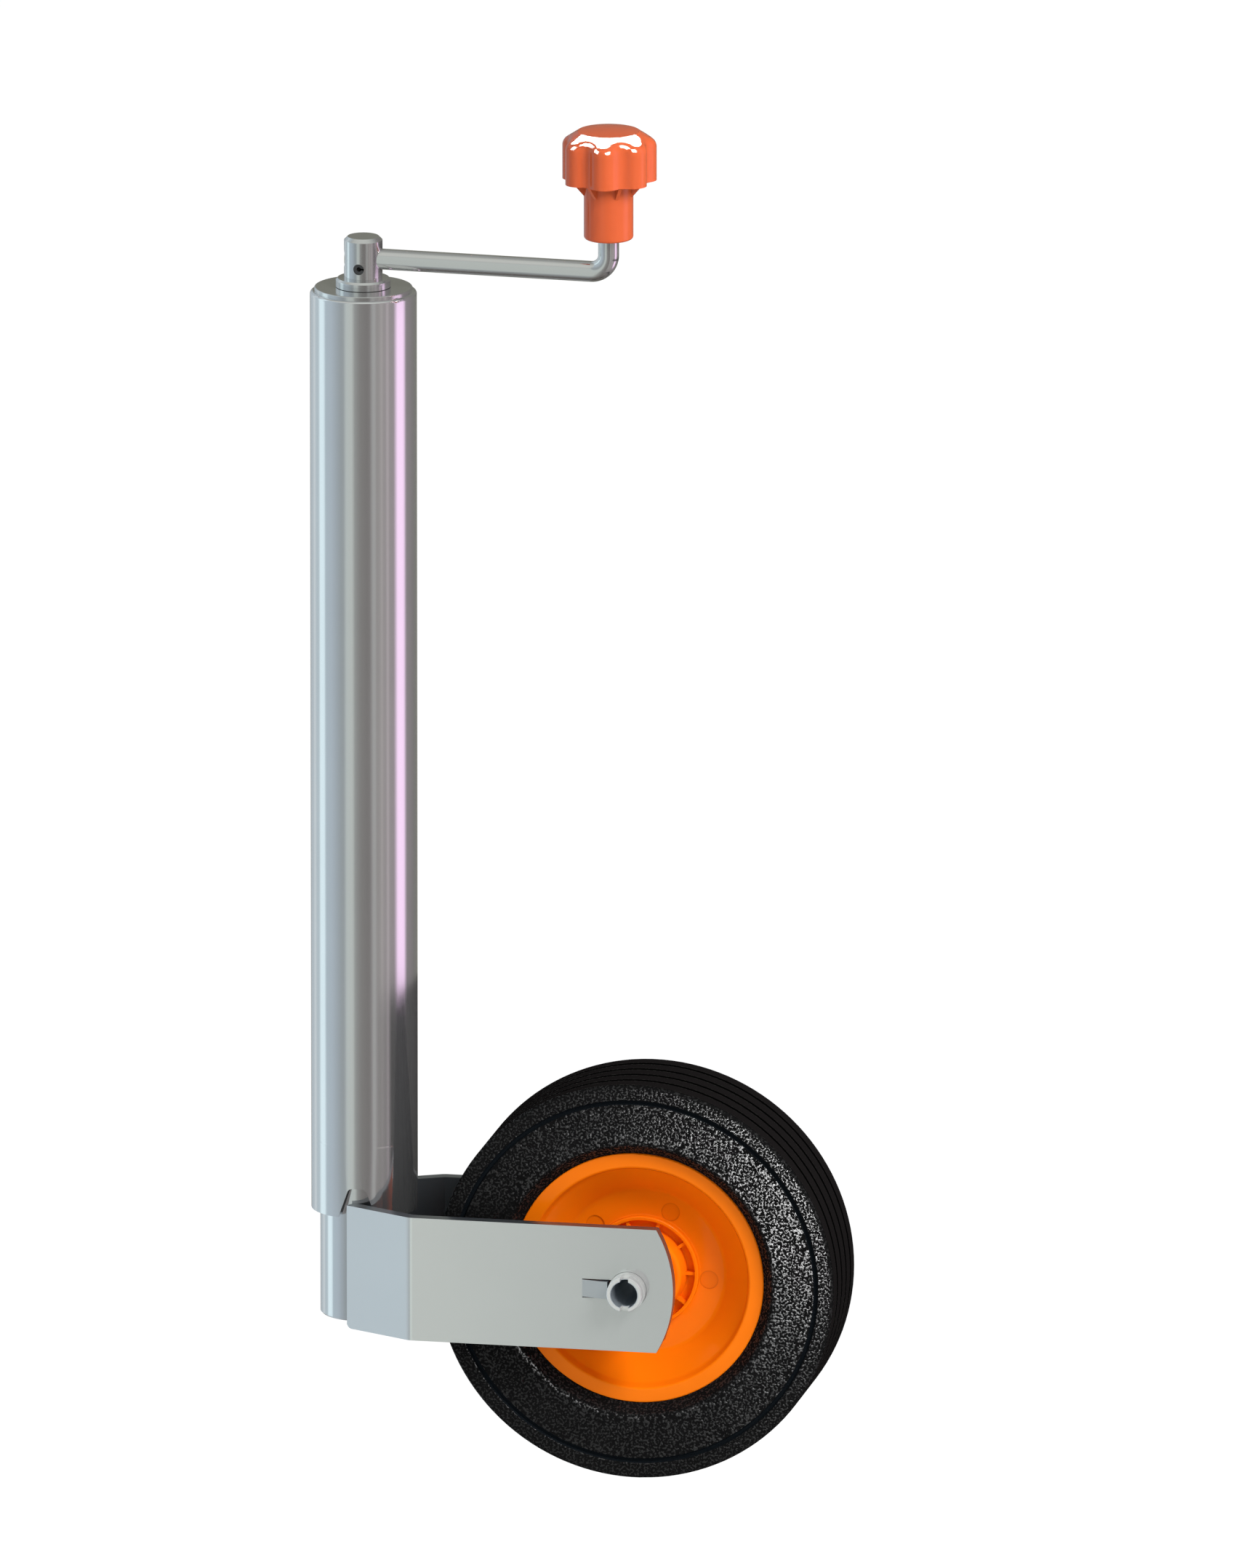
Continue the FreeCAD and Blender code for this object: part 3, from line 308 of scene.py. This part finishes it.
# %% The steel finishes
finishes = {
    "zinc_tube": zinc("zinc_drawn_tube", drawn),
    "zinc_turned": zinc("zinc_turned_steel", turned, tint=(0.72, 0.735, 0.735), rough=0.13, depth=0.004),
    "zinc_bar": zinc("zinc_bent_bar", lengthwise, tint=(0.76, 0.77, 0.765), rough=0.12, depth=0.004),
    # The plate gets painted shade on its cut edges, its face towards the tyre and along its outer face.
    "zinc_plate": zinc("zinc_rolled_plate", rolled, tint=(0.89, 0.915, 0.905), rough=0.12, depth=0.003,
                       metal=0.84, painted_shade=edges_and_inside, painted_shade_tone=0.30),
    # The axle's bore gets painted shade.
    "zinc_axle": zinc("zinc_cut_tube", across_axle, tint=(0.95, 0.96, 0.95), rough=0.16, depth=0.004,
                      metal=0.72, painted_shade=axle_bore, painted_shade_tone=0.75),
    "inner_steel": zinc("greased_steel", turned, tint=(0.55, 0.54, 0.52), rough=0.28, depth=0.008),
}

# %% [markdown]
# ## Black spring steel
#
# Two rolled pins, one inside the other, hold the arm in the spindle's head. They are hardened and
# oiled, so they are nearly black, with a satin shine on the rolled side. A flat black would look like a hole,
# so the finish stays a metal, and a haze of oil changes how sharply it mirrors.

# %% The spring pins
def spring_steel():
    """Nearly black metal. One haze of oil sets both how light it is and how rough."""
    f = Finish("oiled_spring_steel")
    haze = f.grain((1.5, 3.0, 1.5), 3.0)
    tone = f.mix(haze, (0.07, 0.07, 0.075, 1), (0.15, 0.15, 0.155, 1))
    return f.done(Base_Color=tone, Metallic=0.85, Roughness=0.30 + haze * 0.15, Normal=f.bump(haze, 0.01))


finishes["black_spring_steel"] = spring_steel()

# %% [markdown]
# ## Moulded plastics
#
# The knob and the rim are glossy injection mouldings. Their colour is deep and even, so what makes them look
# real is the surface: a very faint orange peel, and a slightly duller skin where the melt cooled first. One
# recipe serves the red knob, the orange rim and the dark guides inside, with its own numbers for each.

# %% Moulded plastic
def moulded(name, dark, light, rough, peel, shine=0.5, marks=None):
    """Moulded plastic: two near colours in slow clouds, and an orange peel that is peel millimetres deep.
    marks(finish) is 1 where the mould's pins left the skin a little darker, and where shade is painted along each
    mark's edge."""
    f = Finish(name)
    flow = f.grain((16, 16, 16), 2.0)
    skin = f.grain((1.9, 1.9, 1.9), 1.0)
    dust_and_shade = f.grain((0.25, 0.25, 0.25), 2.0)
    tone = f.mix(flow, (*dark, 1), (*light, 1))
    # The pins' marks: a darker disc, and painted shade in a ring along each mark's edge.
    if marks:
        tone = f.mix(marks(f), tone, tuple(c * 0.72 for c in dark) + (1,))
    roughness = rough + (flow - 0.5) * 0.04 + (dust_and_shade - 0.5) * 0.04
    return f.done(Base_Color=tone, Roughness=roughness, Normal=f.bump(skin, peel), Specular_IOR_Level=shine)


# %% [markdown]
# ### Pin marks on the rim
#
# Five pins pushed the rim out of its mould, and each left a shallow round mark in the web. The relief is
# in the solid, but at this size its tone is what shows: a slightly darker disc, and a darker ring of painted shade
# along its edge. Five copies of a mask would do, but folding the angle into one fifth of a turn needs just one.

# %% The five marks
MARKS, MARK_CIRCLE, MARK_RADIUS, MARK_TURN = 5, 30.0, 4.1, 66.0  # radii in millimetres, turn in degrees up from +X
# The ring's share is painted shade along each mark's edge; the disc's share is a darker tone.
RING_SHADE_SHARE, DISC_SHARE = 0.45, 0.20


def pin_marks(f):
    """Faint discs with a darker ring of painted shade at their edge. The turn round the axle is folded, and the
    distance to the one mark that is left follows from the radius and the folded turn."""
    x, y, z = f.axes(f.place)
    along, up = (x - WHEEL.x) / MM, (z - WHEEL.z) / MM
    radius = f.from_axle()
    turn = f.maths("DEGREES", f.maths("ARCTAN2", up, along)) + (360 - MARK_TURN + 180 / MARKS)
    folded = f.maths("RADIANS", f.maths("MODULO", turn, 360 / MARKS) - 180 / MARKS)
    aside = (radius * f.maths("COSINE", folded) - MARK_CIRCLE) ** 2 + (radius * f.maths("SINE", folded)) ** 2
    away = aside ** 0.5
    # Painted shade: a darker ring along the edge of each mark.
    ring = f.smooth(abs(away - MARK_RADIUS), 0.45, 0.10)
    disc = f.smooth(away, MARK_RADIUS + 0.1, MARK_RADIUS - 0.2)
    return ring * RING_SHADE_SHARE + disc * DISC_SHARE


# %% The plastic finishes
finishes["red_plastic"] = moulded(
    "red_moulded_plastic", dark=(0.55, 0.094, 0.030), light=(0.61, 0.108, 0.034), rough=0.08, peel=0.003, shine=0.35)
finishes["orange_plastic"] = moulded(
    "orange_moulded_plastic", dark=(0.92, 0.184, 0.002), light=(0.99, 0.202, 0.003), rough=0.10, peel=0.004,
    shine=0.16, marks=pin_marks)
finishes["guide_plastic"] = moulded(
    "dark_sliding_plastic", dark=(0.03, 0.03, 0.032), light=(0.05, 0.05, 0.052), rough=0.45, peel=0.02)

# %% [markdown]
# ## Black rubber
#
# The tyre is solid rubber from an eroded mould, so its side walls have a coarse sandy grain that glints
# where single grains face the light. The tread is smoother, because it has been ground. A bump alone would
# be too fine to see from far away: it averages out to grey. So the shiny tips of the grains are a mask of
# their own, and the rubber between them is dull. The tips are also painted lighter, as painted glints, and the
# grooves are painted dark, as painted shade.

# %% Where the tread and the grooves are
TREAD_RIBS = 5
RIB_PITCH = TYRE_HALF * 2 / TREAD_RIBS
SIDE_GROOVE = TYRE_RADIUS - 8.1  # its middle, in millimetres from the axle


def tyre_zones(f):
    """Four masks. The tread is the outermost rubber between the shoulders. Its grooves repeat once to a rib, so
    the distance to the nearest one is a zigzag of the distance from the middle plane. The side wall's groove is
    a ring at one radius."""
    radius = f.from_axle()
    across = abs(f.axes(f.place)[1]) / MM
    outermost = f.smooth(radius, TYRE_RADIUS - 3.5, TYRE_RADIUS - 2.5)
    tread = outermost * f.smooth(across, TYRE_HALF - 0.6, TYRE_HALF - 1.4)
    beside = RIB_PITCH / 2 - f.maths("PINGPONG", across, RIB_PITCH / 2)
    sunk = f.smooth(radius, TYRE_RADIUS - 0.2, TYRE_RADIUS - 0.6)
    # Painted shade: the grooves' mask, a little wider than the solid grooves, is painted nearly black.
    groove_shade = f.maths("MAXIMUM", sunk, f.smooth(beside, 1.45, 0.95))
    rib_edge = f.smooth(abs(beside - 1.6), 0.6, 0.2)
    # Painted shade: the side wall's groove is painted a plain dark blue-grey, without glints.
    side_groove = f.smooth(abs(radius - SIDE_GROOVE), 1.25, 0.85)
    return tread, groove_shade, rib_edge, side_groove


# %% Grained rubber
def rubber():
    """Black rubber with a salt of shiny tips, where the noise of the sand is high, and painted lighter there as
    painted glints.
    Between the tips, and on the ground tread, it is quite dull. Only the edges of the ribs keep some of the tips. The
    grooves are painted dark as shade."""
    f = Finish("grained_black_rubber")
    tread, groove_shade, rib_edge, side_groove = tyre_zones(f)
    sand = f.grain((1.05, 1.05, 1.05), 2.0, 0.5)
    lumps = f.grain((2.6, 2.6, 2.6), 2.0)
    bloom = f.grain((14, 14, 14), 3.0)
    # The tips are shiny, and their colour is painted lighter below as painted glints; the rib edges keep some, as
    # lines of painted glints.
    tips = f.smooth(sand, 0.49, 0.61) * (1 - tread * (1 - rib_edge * 0.45)) * (1 - side_groove)
    height = (sand * 0.8 + lumps * 0.2) * (1 - tread * 0.85)
    base = f.mix(bloom, (0.0045, 0.0045, 0.0046, 1), (0.0080, 0.0080, 0.0081, 1))
    # Painted shade: the tread's grooves are painted nearly black.
    ground = f.mix(groove_shade, (0.0085, 0.0075, 0.0075, 1), (0.0010, 0.0010, 0.0010, 1))
    # Painted glints: the tips of the grains are painted lighter.
    tone = f.mix(tips * 0.5, base, (0.024, 0.024, 0.024, 1))
    # Painted shade: the side wall's groove is painted a plain dark blue-grey.
    tone = f.mix(side_groove, tone, (0.0060, 0.0080, 0.0100, 1))
    tone = f.mix(tread, tone, ground)
    roughness = 0.27 + lumps * 0.10
    normal = f.bump(height, 0.4)
    return f.done(1 - tips, Base_Color=tone, Roughness=roughness, Normal=normal, Specular_IOR_Level=0.20)


finishes["black_rubber"] = rubber()

# %% [markdown]
# ## Weld beads
#
# Each fork leg is welded to the inner tube in the wedge behind its inner face. A weld is a row of
# overlapping crescents, one for each drop of metal. The CAD model has a plain wedge there. A bump would leave its
# outline straight, so each bead is a real surface of two numbers: the angle round it and the height along it.

# %% A mesh from a grid
def grid_mesh(name, points):
    """A mesh from a grid of points (rows along the piece, columns round it). Each cell is a four-sided face,
    and a fan of triangles closes each end round the mean of its last row."""
    rows, columns = points.shape[:2]
    first, last = points[0].mean(0), points[-1].mean(0)
    vertices = np.concatenate([points.reshape(-1, 3), [first, last]])
    r, c = np.meshgrid(np.arange(rows - 1), np.arange(columns), indexing="ij")
    across = (c + 1) % columns
    quads = np.stack([r * columns + c, r * columns + across, (r + 1) * columns + across, (r + 1) * columns + c], -1)
    ring = np.arange(columns)
    start = np.stack([np.roll(ring, -1), ring, np.full(columns, rows * columns)], -1)
    end = np.stack([ring, np.roll(ring, -1), np.full(columns, rows * columns + 1)], -1)
    end[:, :2] += (rows - 1) * columns
    mesh = bpy.data.meshes.new(name)
    mesh.from_pydata(vertices.tolist(), [], quads.reshape(-1, 4).tolist() + start.tolist() + end.tolist())
    mesh.shade_smooth()
    piece = bpy.data.objects.new(name, mesh)
    bpy.context.scene.collection.objects.link(piece)
    return piece


# %% Bead surface
HALF_WIDTH, HALF_DEPTH, RIPPLE, END_TAPER = 2.1 * MM, 1.5 * MM, 1.6 * MM, 2.5 * MM
ROWS, COLUMNS = 240, 40


def weld_bead(name, side):
    """Height z and angle t give a point on an oval that swells to a crest at each ripple and closes at both ends."""
    low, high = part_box("fork_welds")
    centre_x, centre_y = high.x - 1.1 * MM, (high.y - 1.9 * MM) * side
    z = np.linspace(low.z, high.z, ROWS)[:, None]
    t = np.linspace(0, 2 * np.pi, COLUMNS, endpoint=False)[None, :]
    ends = np.clip(np.minimum(z - low.z, high.z - z) / END_TAPER, 0, 1)
    taper = np.sqrt(1 - (1 - ends) ** 2) * 0.98 + 0.02
    phase = ((z - low.z) / RIPPLE + 0.35 * np.cos(t)) % 1
    swell = taper * (1 + 0.10 * np.sqrt(1 - phase ** 2) + 0.02 * np.sin(z / MM * 2.3 + 3 * t))
    x = centre_x + HALF_DEPTH * swell * np.cos(t)
    y = centre_y + HALF_WIDTH * swell * np.sin(t)
    return grid_mesh(name, np.stack([x, y, np.broadcast_to(z, x.shape)], -1))


# %% The two beads
def weld_metal():
    """Weld metal cools with blue and straw hazes, which the thin plating doesn't quite hide."""
    f = Finish("plated_weld_metal")
    heat = f.grain((2.0, 2.0, 3.0), 3.0)
    tone = f.mix(heat, (0.42, 0.43, 0.44, 1), (0.62, 0.62, 0.60, 1))
    return f.done(Base_Color=tone, Metallic=1.0, Roughness=0.26 + heat * 0.16, Normal=f.bump(heat, 0.03))


finishes["weld_bead"] = weld_metal()
for name, side in (("weld_bead_left", 1), ("weld_bead_right", -1)):
    bead = weld_bead(name, side)
    bead.data.materials.append(finishes["weld_bead"])
    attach(bead, "slider")
    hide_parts("fork_welds")
    print(name, "has", len(bead.data.polygons), "faces")

# %% [markdown]
# ## Dressing the solids
#
# The record says which finish each solid has. The finishes could be given one by one, but then a solid
# could be forgotten, so a loop over the record gives them all. The meshes are left alone.

# %% Put the finishes on
for part in frame["record"]["subparts"]:
    for slot in nodes[part["node"]].material_slots:
        slot.material = finishes[part["material_slot"]]

# %% [markdown]
# ## The studio
#
# A mirror shows only what stands round it. So the world has two faces: to a soft surface it is even light from
# above and from the right, and to a mirror it is a studio with grey walls, tall lights and an overhead
# softbox. The camera sees plain white. The walls could be real cards, but a world is quieter to render, and it
# looks the same from every place. Directions are in degrees round from the front, to the right.

# %% What the mirrors see: walls as (direction, colour), lights as (direction, half width, soft edge, colour)
WALLS = [
    (-180, (0.20, 0.20, 0.17)), (-163, (0.21, 0.21, 0.18)), (-150, (0.46, 0.51, 0.55)), (-122, (0.55, 0.62, 0.66)),
    (-90, (0.50, 0.60, 0.66)), (-62, (0.46, 0.53, 0.59)), (-40, (0.33, 0.37, 0.39)), (-12, (0.33, 0.34, 0.33)),
    (5, (0.20, 0.19, 0.18)), (20, (0.165, 0.15, 0.145)), (45, (0.30, 0.28, 0.27)), (72, (0.30, 0.26, 0.27)),
    (125, (0.22, 0.19, 0.20)), (150, (0.17, 0.16, 0.15)), (180, (0.20, 0.20, 0.17)),
]
TALL_LIGHTS = [
    (-91, 8, 5, (0.36, 0.42, 0.42)), (-122, 4, 5, (0.12, 0.11, 0.10)), (-20, 8, 6, (0.20, 0.22, 0.20)),
    (33, 4, 4, (0.12, 0.13, 0.13)), (51, 2, 3, (0.07, 0.06, 0.06)), (65, 2, 3, (0.13, 0.11, 0.12)),
    (99, 11, 9, (0.92, 0.62, 0.92)),
]
# Degrees of rise: where the lights are gone and full, the ceiling starts and is full, the ground starts and is full.
LIGHTS_END, WALLS_END, GROUND_START = (50, 36), (34, 54), (-44, -78)
CEILING_FRONT, CEILING_BACK, GROUND = (0.60, 0.61, 0.58, 1), (0.30, 0.31, 0.30, 1), (0.10, 0.085, 0.075, 1)


def mirror_world(w, x, y, z):
    """The colour in a direction. The turn round the object picks the wall's colour and adds the lights, and
    the rise in degrees fades both into the ceiling and the ground."""
    turn = w.maths("DEGREES", w.maths("ARCTAN2", x, -y))
    rise = w.maths("DEGREES", w.maths("ARCSINE", z))
    stops = [((azimuth + 180) / 360, colour) for azimuth, colour in WALLS]
    mirror = w.node("ShaderNodeValToRGB", {"stops": stops}, {0: turn / 360 + 0.5}).outputs[0]
    upright = w.smooth(abs(rise), *LIGHTS_END)
    for azimuth, half, edge, colour in TALL_LIGHTS:
        away = abs(turn - azimuth)
        share = w.smooth(away, half + edge, half - edge * 0.5) * upright
        mirror = w.mix(share, mirror, (*colour, 1), "ADD")
    ceiling = w.mix(w.smooth(y, -0.25, 0.45), CEILING_FRONT, CEILING_BACK)
    mirror = w.mix(w.smooth(rise, *WALLS_END), mirror, ceiling)
    return w.mix(w.smooth(rise, *GROUND_START), mirror, GROUND)


print("walls:", len(WALLS), "tall lights:", len(TALL_LIGHTS))

# %% The world, by kind of ray
SOFT, SOFT_RIGHT, SOFT_UP, SOFT_FRONT = 0.58, 0.11, 0.08, 0.04


def build_world():
    """White to the camera, even light to soft surfaces, and the studio to mirrors."""
    world = bpy.data.worlds.new("studio")
    bpy.context.scene.world = world
    w = Tree(world)
    x, y, z = w.axes(w.node("ShaderNodeTexCoord").outputs["Generated"])
    soft = SOFT + x * SOFT_RIGHT + z * SOFT_UP - y * SOFT_FRONT
    colours = mirror_world(w, x, y, z), w.vector(soft, soft, soft), (1, 1, 1, 1)
    glossy, diffuse, white = [w.node("ShaderNodeBackground", {}, {0: c, 1: 1.0}).outputs[0] for c in colours]
    path = w.node("ShaderNodeLightPath").outputs
    lit = w.node("ShaderNodeMixShader", {}, {0: path["Is Diffuse Ray"], 1: glossy, 2: diffuse}).outputs[0]
    shown = w.node("ShaderNodeMixShader", {}, {0: path["Is Camera Ray"], 1: lit, 2: white}).outputs[0]
    w.node("ShaderNodeOutputWorld", {}, {0: shown})
    print("world nodes:", len(w.nodes))


build_world()

# %% [markdown]
# ## Lamps
#
# One large lamp, high on the right, gives the plastics their shape. Glossy plastic throws back only a
# twentieth of what it mirrors, so its crisp highlights need lamps that would burn out on bright zinc. Light
# linking keeps those lamps to the pieces that they are meant for, and they give no light but the highlight.

# %% One lamp
def lamp(name, place, target, size, power, only=None):
    """A softbox aimed at the target. With only, a list of nodes, it shows as a highlight on them and no more."""
    data = bpy.data.lights.new(name, "AREA")
    data.shape, data.size, data.size_y, data.energy = "RECTANGLE", *size, power
    box = bpy.data.objects.new(name, data)
    box.location = place
    box.rotation_euler = (Vector(target) - Vector(place)).to_track_quat("-Z", "Y").to_euler()
    box.visible_camera = False
    box.visible_glossy = bool(only)
    box.visible_diffuse = not only
    if only:
        lit = bpy.data.collections.new(name + "_lights")
        for node in only:
            lit.objects.link(nodes[node])
        box.light_linking.receiver_collection = lit
    bpy.context.scene.collection.objects.link(box)
    print("lamp:", name, "with", power, "W for", only or "all pieces")


# %% The lamps
KNOB, KNOB_MIDDLE = ["knob", "knob_cap"], (0.11, 0, 0.27)
lamp("key_softbox", (1.65, -1.15, 1.45), (0.08, 0, -0.05), (0.8, 0.8), 54.0)
lamp("knob_top_softbox", (0.015, 0.49, 1.22), KNOB_MIDDLE, (1.25, 0.95), 172.0, KNOB)
lamp("knob_right_softbox", (0.473, -0.50, 0.68), KNOB_MIDDLE, (0.45, 0.40), 26.0, KNOB)
lamp("knob_left_softbox", (-0.42, -0.30, 0.70), KNOB_MIDDLE, (0.45, 0.40), 26.0, KNOB)
lamp("rim_softbox", (0.25, -0.45, 0.75), (0.13, 0, -0.23), (0.16, 0.16), 9.0, ["rim", "rim_hub"])
lamp("tyre_softbox", (0.172, -0.165, -0.232), (0.192, -0.025, -0.200), (0.035, 0.035), 1.05, ["tyre"])

# %% [markdown]
# ## Dark flags
#
# In the photograph the tube's lower right side is dark, with a level upper border, and so is the right side of
# the spindle's head. The world can't do that, because it looks the same from every height. A photographer uses a
# flag, a dark card that only the mirrors see. Each card here is a strip of a cylinder round the tubes' axis.

# %% Flag material
def flag_material(name, shade, thin, full):
    """A third solid after the first pair of angles and quite solid after the second, in degrees from the front."""
    f = Finish(name)
    x, y, z = f.axes(f.place)
    turn = f.maths("DEGREES", f.maths("ARCTAN2", x, -y))
    solid = f.smooth(turn, *thin) * 0.35 + f.smooth(turn, *full) * 0.65
    glow = f.node("ShaderNodeEmission", {}, {0: (*shade, 1), 1: 1.0})
    clear = f.node("ShaderNodeBsdfTransparent")
    mixed = f.node("ShaderNodeMixShader", {}, {0: solid, 1: clear.outputs[0], 2: glow.outputs[0]})
    f.node("ShaderNodeOutputMaterial", {}, {"Surface": mixed.outputs[0]})
    return f.material


# %% The flags
STRIPS = 59


def flag(name, radius, heights, angles, shade, thin, full):
    """Angle a and height z give the point at radius (sin a, -cos a) and z."""
    turn, z = np.meshgrid(np.radians(np.linspace(*angles, STRIPS + 1)), np.linspace(*heights, 2), indexing="ij")
    points = np.stack([radius * np.sin(turn), -radius * np.cos(turn), z], -1).reshape(-1, 3)
    i = np.arange(STRIPS) * 2
    faces = np.stack([i, i + 1, i + 3, i + 2], -1)
    mesh = bpy.data.meshes.new(name)
    mesh.from_pydata(points.tolist(), [], faces.tolist())
    mesh.materials.append(flag_material(name, shade, thin, full))
    card = bpy.data.objects.new(name, mesh)
    bpy.context.scene.collection.objects.link(card)
    card.visible_camera = card.visible_diffuse = card.visible_shadow = card.visible_transmission = False
    print("flag:", name, "from", angles[0], "to", angles[1], "degrees, heights", heights)


flag("tube_flag", 0.40, (-0.322, -0.205), (25, 190), (0.030, 0.028, 0.026), thin=(31, 50), full=(62, 72))
flag("head_flag", 0.28, (0.155, 0.172), (60, 185), (0.030, 0.028, 0.025), thin=(62, 72), full=(70, 80))

# %% [markdown]
# ## Floor
#
# The crank winds the wheel down to the ground, so the floor lies where the tyre's foot is when it is wound all
# the way out. It is pale, and to the camera it is lifted to white, but it keeps the shadow. More light could
# whiten it too, but would burn out the zinc, so its own faint glow does it.

# %% Floor
FLOOR_GLOW, FLOOR_GAP, FLOOR_HALF = 0.93, 0.05 * MM, 7.0


def floor_material():
    """A pale matt card to the lamps. To the camera, most of it glows and the rest takes light and shadow."""
    f = Finish("pale_floor")
    camera = f.node("ShaderNodeLightPath").outputs["Is Camera Ray"]
    speck = f.grain((3, 3, 3), 2.0)
    pale = f.mix(speck, (0.80, 0.80, 0.80, 1), (0.82, 0.82, 0.82, 1))
    plain = f.node("ShaderNodeBsdfDiffuse", {}, {0: pale})
    faint = f.node("ShaderNodeBsdfDiffuse", {}, {0: (0.12, 0.12, 0.12, 1)})
    glow = f.node("ShaderNodeEmission", {}, {0: (1, 1, 1, 1), 1: FLOOR_GLOW})
    lifted = f.node("ShaderNodeAddShader", {}, {0: faint.outputs[0], 1: glow.outputs[0]})
    shader = f.node("ShaderNodeMixShader", {}, {0: camera, 1: plain.outputs[0], 2: lifted.outputs[0]})
    f.node("ShaderNodeOutputMaterial", {}, {"Surface": shader.outputs[0]})
    return f.material


def floor(level, half):
    """A square of side 2 x half at the given height."""
    corners = np.array([[-1, -1], [1, -1], [1, 1], [-1, 1]]) * half
    mesh = bpy.data.meshes.new("floor")
    mesh.from_pydata([(x, y, level) for x, y in corners], [], [(0, 1, 2, 3)])
    mesh.materials.append(floor_material())
    piece = bpy.data.objects.new("floor", mesh)
    bpy.context.scene.collection.objects.link(piece)
    piece.visible_glossy = False


slide = next(joint for joint in frame["record"]["behaviour"]["joints"] if joint["name"] == "tube_slide")
floor(tyre_low.z - slide["range_m"][1] - FLOOR_GAP, FLOOR_HALF)
print("the wheel winds down by", round(slide["range_m"][1] / MM, 1), "mm to the floor")

# %% [markdown]
# ## The camera
#
# The photograph was taken with a very long lens, so that upright edges stay parallel. An orthographic camera
# would make them quite parallel, but a real lens from 20 m away is closer to the picture. It stands 11.4 degrees
# to the right of the front and 14.1 degrees up. It looks at a point that lies in the picture's middle, given from
# the foot of the outer tube along the picture's own directions.

# %% Long-lens camera
AZIMUTH, ELEVATION = math.radians(11.38), math.radians(14.06)
DISTANCE = 20.0
LENS, SENSOR = 1019.2, 36.0
MIDDLE_RIGHT, MIDDLE_UP = 0.1189, 0.1899
level, height = math.cos(ELEVATION), math.sin(ELEVATION)
towards = np.array([math.sin(AZIMUTH) * level, -math.cos(AZIMUTH) * level, height])
right = np.array([math.cos(AZIMUTH), math.sin(AZIMUTH), 0.0])
up = np.cross(towards, right)
foot = np.array([0.0, 0.0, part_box("outer_tube")[0].z])
middle = foot + MIDDLE_RIGHT * right + MIDDLE_UP * up
lens = bpy.data.cameras.new("long_lens")
lens.lens, lens.sensor_width = LENS, SENSOR
lens.clip_start, lens.clip_end = 1.0, 60.0
camera = bpy.data.objects.new("camera", lens)
camera.location = middle + DISTANCE * towards
camera.rotation_euler = Vector(-towards).to_track_quat("-Z", "Y").to_euler()
bpy.context.scene.collection.objects.link(camera)
bpy.context.scene.camera = camera
bpy.context.scene.view_settings.view_transform = "Standard"
print("camera at", [round(float(c), 3) for c in camera.location])
